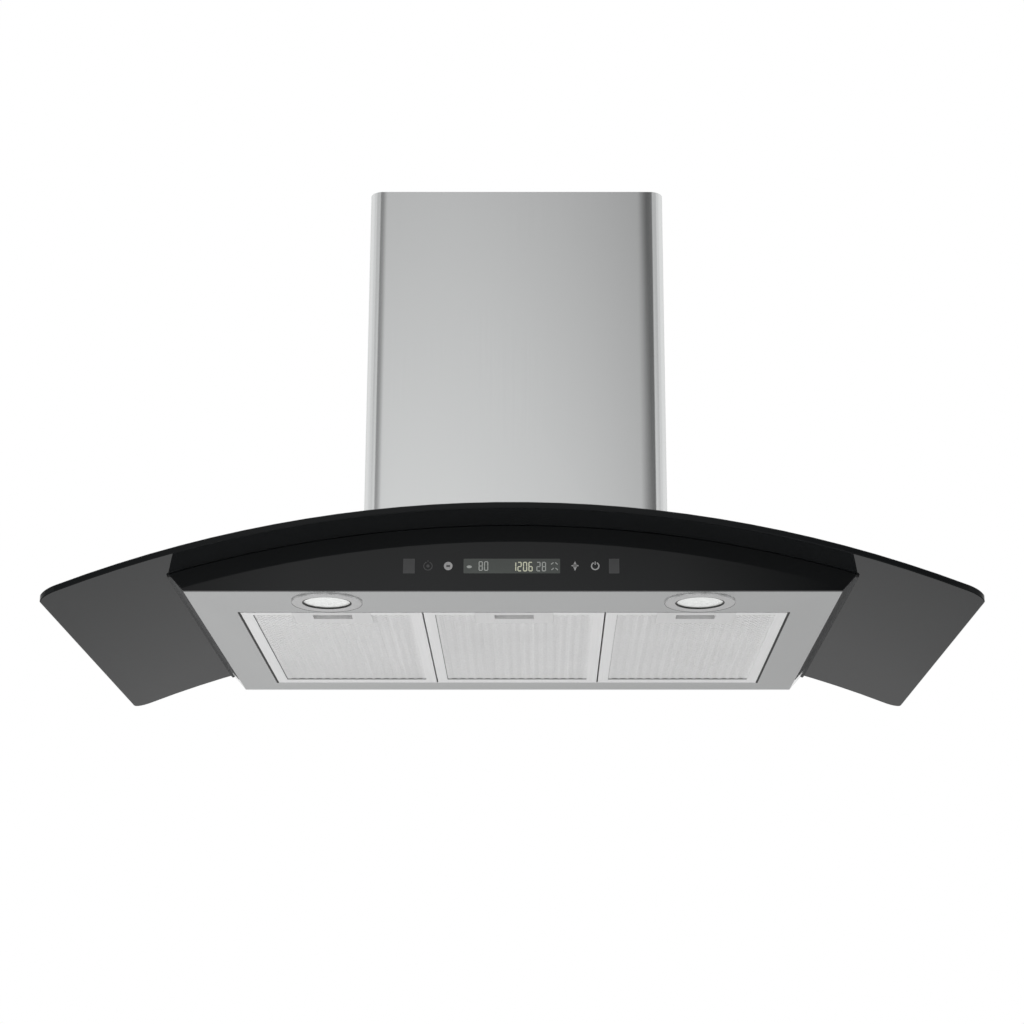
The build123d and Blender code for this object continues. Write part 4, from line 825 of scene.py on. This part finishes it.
def crossHead(radius, height):
    # a domed head with a cross recess, standing on Z = 0
    shape = domed(headOutline, radius, height, headFacts["steps"])
    half = radius * headFacts["crossHalf"]
    for axis in ((1, 0, 0), (0, 1, 0)):
        for side in (-1, 1):
            bmesh.ops.bisect_plane(shape, geom=wholeOf(shape), plane_co=Vector(axis) * side * half, plane_no=axis)
    sunk = []
    for face in shape.faces:
        spot = face.calc_center_median()
        inCross = min(abs(spot.x), abs(spot.y)) < half
        if inCross and spot.z > height * headFacts["crossLow"] and spot.xy.length < radius * headFacts["crossReach"]:
            sunk.append(face)
    growFaces(shape, sunk, (0, 0, -height * headFacts["crossDepth"]))
    bmesh.ops.delete(shape, geom=sunk, context="FACES_ONLY")
    bmesh.ops.recalc_face_normals(shape, faces=shape.faces)
    smoothByAngle(shape, headFacts["smooth"])
    return shape


def facesSide(place):
    return (place[0], 0, 0)


def facesUp(place):
    return (0, 0, 1)


outletY = -123.0
chimneyFacts = {"side": 165.0, "screwHeight": 92}
lidFacts = {"x": 114, "top": 324, "ends": (-177, -69)}
collarFacts = {"ring": 81.4, "top": 292.5, "screws": 6}


def collarPlace(step):
    angle = math.tau * (step + 0.5) / collarFacts["screws"]
    return (collarFacts["ring"] * math.cos(angle), outletY + collarFacts["ring"] * math.sin(angle),
            collarFacts["top"])


screwRows = {
    "chimney": {
        "places": [(side * chimneyFacts["side"], outletY, chimneyFacts["screwHeight"]) for side in (-1, 1)],
        "facing": facesSide, "radius": 4.2, "height": 2.1, "stands": ("chimney_screws",),
    },
    "lid": {
        "places": [(lidFacts["x"], end, lidFacts["top"]) for end in lidFacts["ends"]],
        "facing": facesUp, "radius": 3.5, "height": 2.0, "stands": (),
    },
    "collar": {
        "places": [collarPlace(step) for step in range(collarFacts["screws"])],
        "facing": facesUp, "radius": 3.0, "height": 1.8, "stands": (),
    },
}
for rowName, facts in screwRows.items():
    heads = []
    for place in facts["places"]:
        head = crossHead(facts["radius"], facts["height"])
        standOn(head, facts["facing"](place), place)
        heads.append(head)
    keepPiece(rowName + "ScrewHeads", merge(heads), "hood", "screws", stands=facts["stands"])

rivetFacts = {
    "side": 140.0, "places": ((-24, 130), (-24, 262), (-222, 130), (-222, 262)),
    "radius": 2.6, "height": 1.1, "steps": 16, "smooth": 50,
}
rivets = []
for side in (-1, 1):
    for y, z in rivetFacts["places"]:
        place = (side * rivetFacts["side"], y, z)
        rivet = domed(rivetOutline, rivetFacts["radius"], rivetFacts["height"], rivetFacts["steps"])
        smoothByAngle(rivet, rivetFacts["smooth"])
        standOn(rivet, facesSide(place), place)
        rivets.append(rivet)
keepPiece("boxRivets", merge(rivets), "hood", "galvanised")
print("screws made")


# ---- studio ----

floorFacts = {
    "level": -1.6,
    "reach": 14.0,
    "seen": (0.95, 0.95, 0.95),
    "mirrored": (1.0, 1.0, 1.0),
    # painted shade: how the mirrored floor's tone falls: axis, from, to, tone at each
    "falls": (("X", -1.2, 1.2, 1.0, 0.84), ("X", -2.6, -1.4, 0.78, 1.0), ("X", 1.4, 2.6, 1.0, 0.94),
              ("Y", 5.6, 7.5, 1.0, 0.82)),
}
worldTones = {"diffuse": 0.62, "seen": 1.0}
frontWall = {
    "distance": 4.0,  # in front of the kitchen wall plane
    "halfWidth": 7.0,
    "low": -1.6,
    "high": 6.0,
    "strength": 1.21,
    "topFall": (1.0, 2.5, 0.64),  # from, to, tone there: where the chimney's top is mirrored
    "rightFall": (-0.25, 1.0, 0.5),
    "rightAgain": (1.15, 1.6, 1.85),  # brighter again between these places, by this much
    "flags": ((-1.4, 0.3, 0.75, 0.35), (1.0, 0.15, 0.6, 0.12)),  # middle, dark half, soft half, tone
}
sidePanel = {"away": 4.0, "near": -0.4, "far": 3.0, "low": -1.6, "high": 4.0, "strength": 1.15}
softboxes = {
    "keySoftbox": {"place": (-2.2, -2.6, 2.4), "aim": (0, -0.2, 0.1), "size": (2.2, 1.6), "watts": 46.0},
    "fillSoftbox": {"place": (2.4, -2.4, 1.2), "aim": (0, -0.2, 0.1), "size": (2.0, 2.0), "watts": 30.0},
    "underSoftbox": {"place": (-0.4, -0.6, -1.5), "aim": (0, -0.25, 0), "size": (2.0, 2.0), "watts": 18.0},
}


def makeWorld():
    # white where it is seen or mirrored, plainer where it lights the room
    world = bpy.data.worlds.new("studioWorld")
    bpy.context.scene.world = world
    world.use_nodes = True
    tree = world.node_tree
    tree.nodes.clear()
    leave = addNode(tree, "OutputWorld")
    rays = addNode(tree, "LightPath")
    seen = addMath(tree, "ADD", rays.outputs["Is Camera Ray"], rays.outputs["Is Glossy Ray"], clamp=True)
    seen = addMath(tree, "ADD", seen, rays.outputs["Is Transmission Ray"], clamp=True)
    blend = addNode(tree, "MixShader")
    tree.links.new(seen, blend.inputs[0])
    for slotIndex, strength in ((1, worldTones["diffuse"]), (2, worldTones["seen"])):
        sky = addNode(tree, "Background")
        sky.inputs["Color"].default_value = (1, 1, 1, 1)
        sky.inputs["Strength"].default_value = strength
        tree.links.new(sky.outputs[0], blend.inputs[slotIndex])
    tree.links.new(blend.outputs[0], leave.inputs[0])


def makeStagePlane(name, corners, material):
    shape = bmesh.new()
    shape.faces.new([shape.verts.new(corner) for corner in corners])
    mesh = bpy.data.meshes.new(name)
    shape.to_mesh(mesh)
    shape.free()
    plane = bpy.data.objects.new(name, mesh)
    bpy.context.scene.collection.objects.link(plane)
    mesh.materials.append(material)
    return plane


def keepMirrored(plane):
    plane.visible_camera = plane.visible_diffuse = plane.visible_shadow = plane.visible_transmission = False


def startGlow(name):
    material = bpy.data.materials.new(name)
    material.use_nodes = True
    tree = material.node_tree
    tree.nodes.clear()
    leave = addNode(tree, "OutputMaterial")
    glow = addNode(tree, "Emission")
    tree.links.new(glow.outputs[0], leave.inputs[0])
    return material, tree, glow.inputs["Strength"]


def makeFloor():
    material, tree, shader, coordinates = startMaterial("floorPaper")
    # plain where the camera sees it; where it is mirrored, painted darker to the right, at the far sides and towards
    # the back: painted shade
    parts = splitPlace(tree)
    tone = None
    for axis, low, high, outLow, outHigh in floorFacts["falls"]:
        part = mapRange(tree, parts[axis], low, high, outLow, outHigh)
        tone = part if tone is None else addMath(tree, "MULTIPLY", tone, part)
    mirrored = mixColour(tree, tone, (0, 0, 0), floorFacts["mirrored"])
    rays = addNode(tree, "LightPath")
    mixColour(tree, rays.outputs["Is Camera Ray"], mirrored, floorFacts["seen"], shader.inputs["Base Color"])
    shader.inputs["Roughness"].default_value = 0.9
    shader.inputs["Specular IOR Level"].default_value = 0.1
    reach, level = floorFacts["reach"], floorFacts["level"]
    corners = [(-reach, -reach, level), (reach, -reach, level), (reach, reach, level), (-reach, reach, level)]
    makeStagePlane("studioFloor", corners, material)


def makeFrontWall():
    # only mirrored: a wall of soft light, darker upwards and to the right, with a dark flag on each side
    facts = frontWall
    material, tree, strength = startGlow("frontWallLight")
    parts = splitPlace(tree)
    across, height = parts["X"], parts["Z"]
    low, high, tone = facts["topFall"]
    upward = mapRange(tree, height, low, high, facts["strength"], facts["strength"] * tone)
    low, high, tone = facts["rightFall"]
    light = addMath(tree, "MULTIPLY", upward, mapRange(tree, across, low, high, 1.0, tone))
    low, high, gain = facts["rightAgain"]
    light = addMath(tree, "MULTIPLY", light, mapRange(tree, across, low, high, 1.0, gain))
    for flagMiddle, dark, soft, tone in facts["flags"]:
        offset = addMath(tree, "ABSOLUTE", addMath(tree, "SUBTRACT", across, flagMiddle))
        light = addMath(tree, "MULTIPLY", light, mapRange(tree, offset, dark, soft, tone, 1.0))
    tree.links.new(light, strength)
    half, y = facts["halfWidth"], -facts["distance"]
    corners = [(-half, y, facts["low"]), (half, y, facts["low"]), (half, y, facts["high"]), (-half, y, facts["high"])]
    keepMirrored(makeStagePlane("frontWall", corners, material))


def makeSidePanels():
    facts = sidePanel
    material, tree, strength = startGlow("sidePanelLight")
    strength.default_value = facts["strength"]
    for sideName, side in (("Left", -1), ("Right", 1)):
        x = side * facts["away"]
        corners = [(x, y, z) for y, z in ((facts["near"], facts["low"]), (facts["far"], facts["low"]),
                                          (facts["far"], facts["high"]), (facts["near"], facts["high"]))]
        keepMirrored(makeStagePlane("sidePanel" + sideName, corners, material))


def makeSoftbox(name, place, aim, size, watts):
    light = bpy.data.lights.new(name, "AREA")
    light.shape = "RECTANGLE"
    light.size, light.size_y = size
    light.energy = watts
    lamp = bpy.data.objects.new(name, light)
    bpy.context.scene.collection.objects.link(lamp)
    lamp.location = place
    lamp.rotation_euler = (Vector(aim) - Vector(place)).to_track_quat("-Z", "Y").to_euler()
    lamp.visible_camera = False
    lamp.visible_glossy = False


makeWorld()
makeFloor()
makeFrontWall()
makeSidePanels()
for lightName, facts in softboxes.items():
    makeSoftbox(lightName, **facts)
print("studio ready")


# ---- camera ----

cameraFacts = {
    "place": (0.0264, -2.4456, -0.5253),
    "pitchUp": 15.558,
    "sensor": 36,
    "lens": 74.16,
    "shift": (-0.0273, 0.0498),
    "clip": (0.01, 60),
}
cameraData = bpy.data.cameras.new("photoCamera")
cameraData.sensor_width = cameraFacts["sensor"]
cameraData.lens = cameraFacts["lens"]
cameraData.shift_x, cameraData.shift_y = cameraFacts["shift"]
cameraData.clip_start, cameraData.clip_end = cameraFacts["clip"]
camera = bpy.data.objects.new("photoCamera", cameraData)
bpy.context.scene.collection.objects.link(camera)
camera.location = cameraFacts["place"]
camera.rotation_euler = (math.radians(90 + cameraFacts["pitchUp"]), 0, 0)
bpy.context.scene.camera = camera
bpy.context.scene.view_settings.view_transform = "Standard"
print("camera ready")
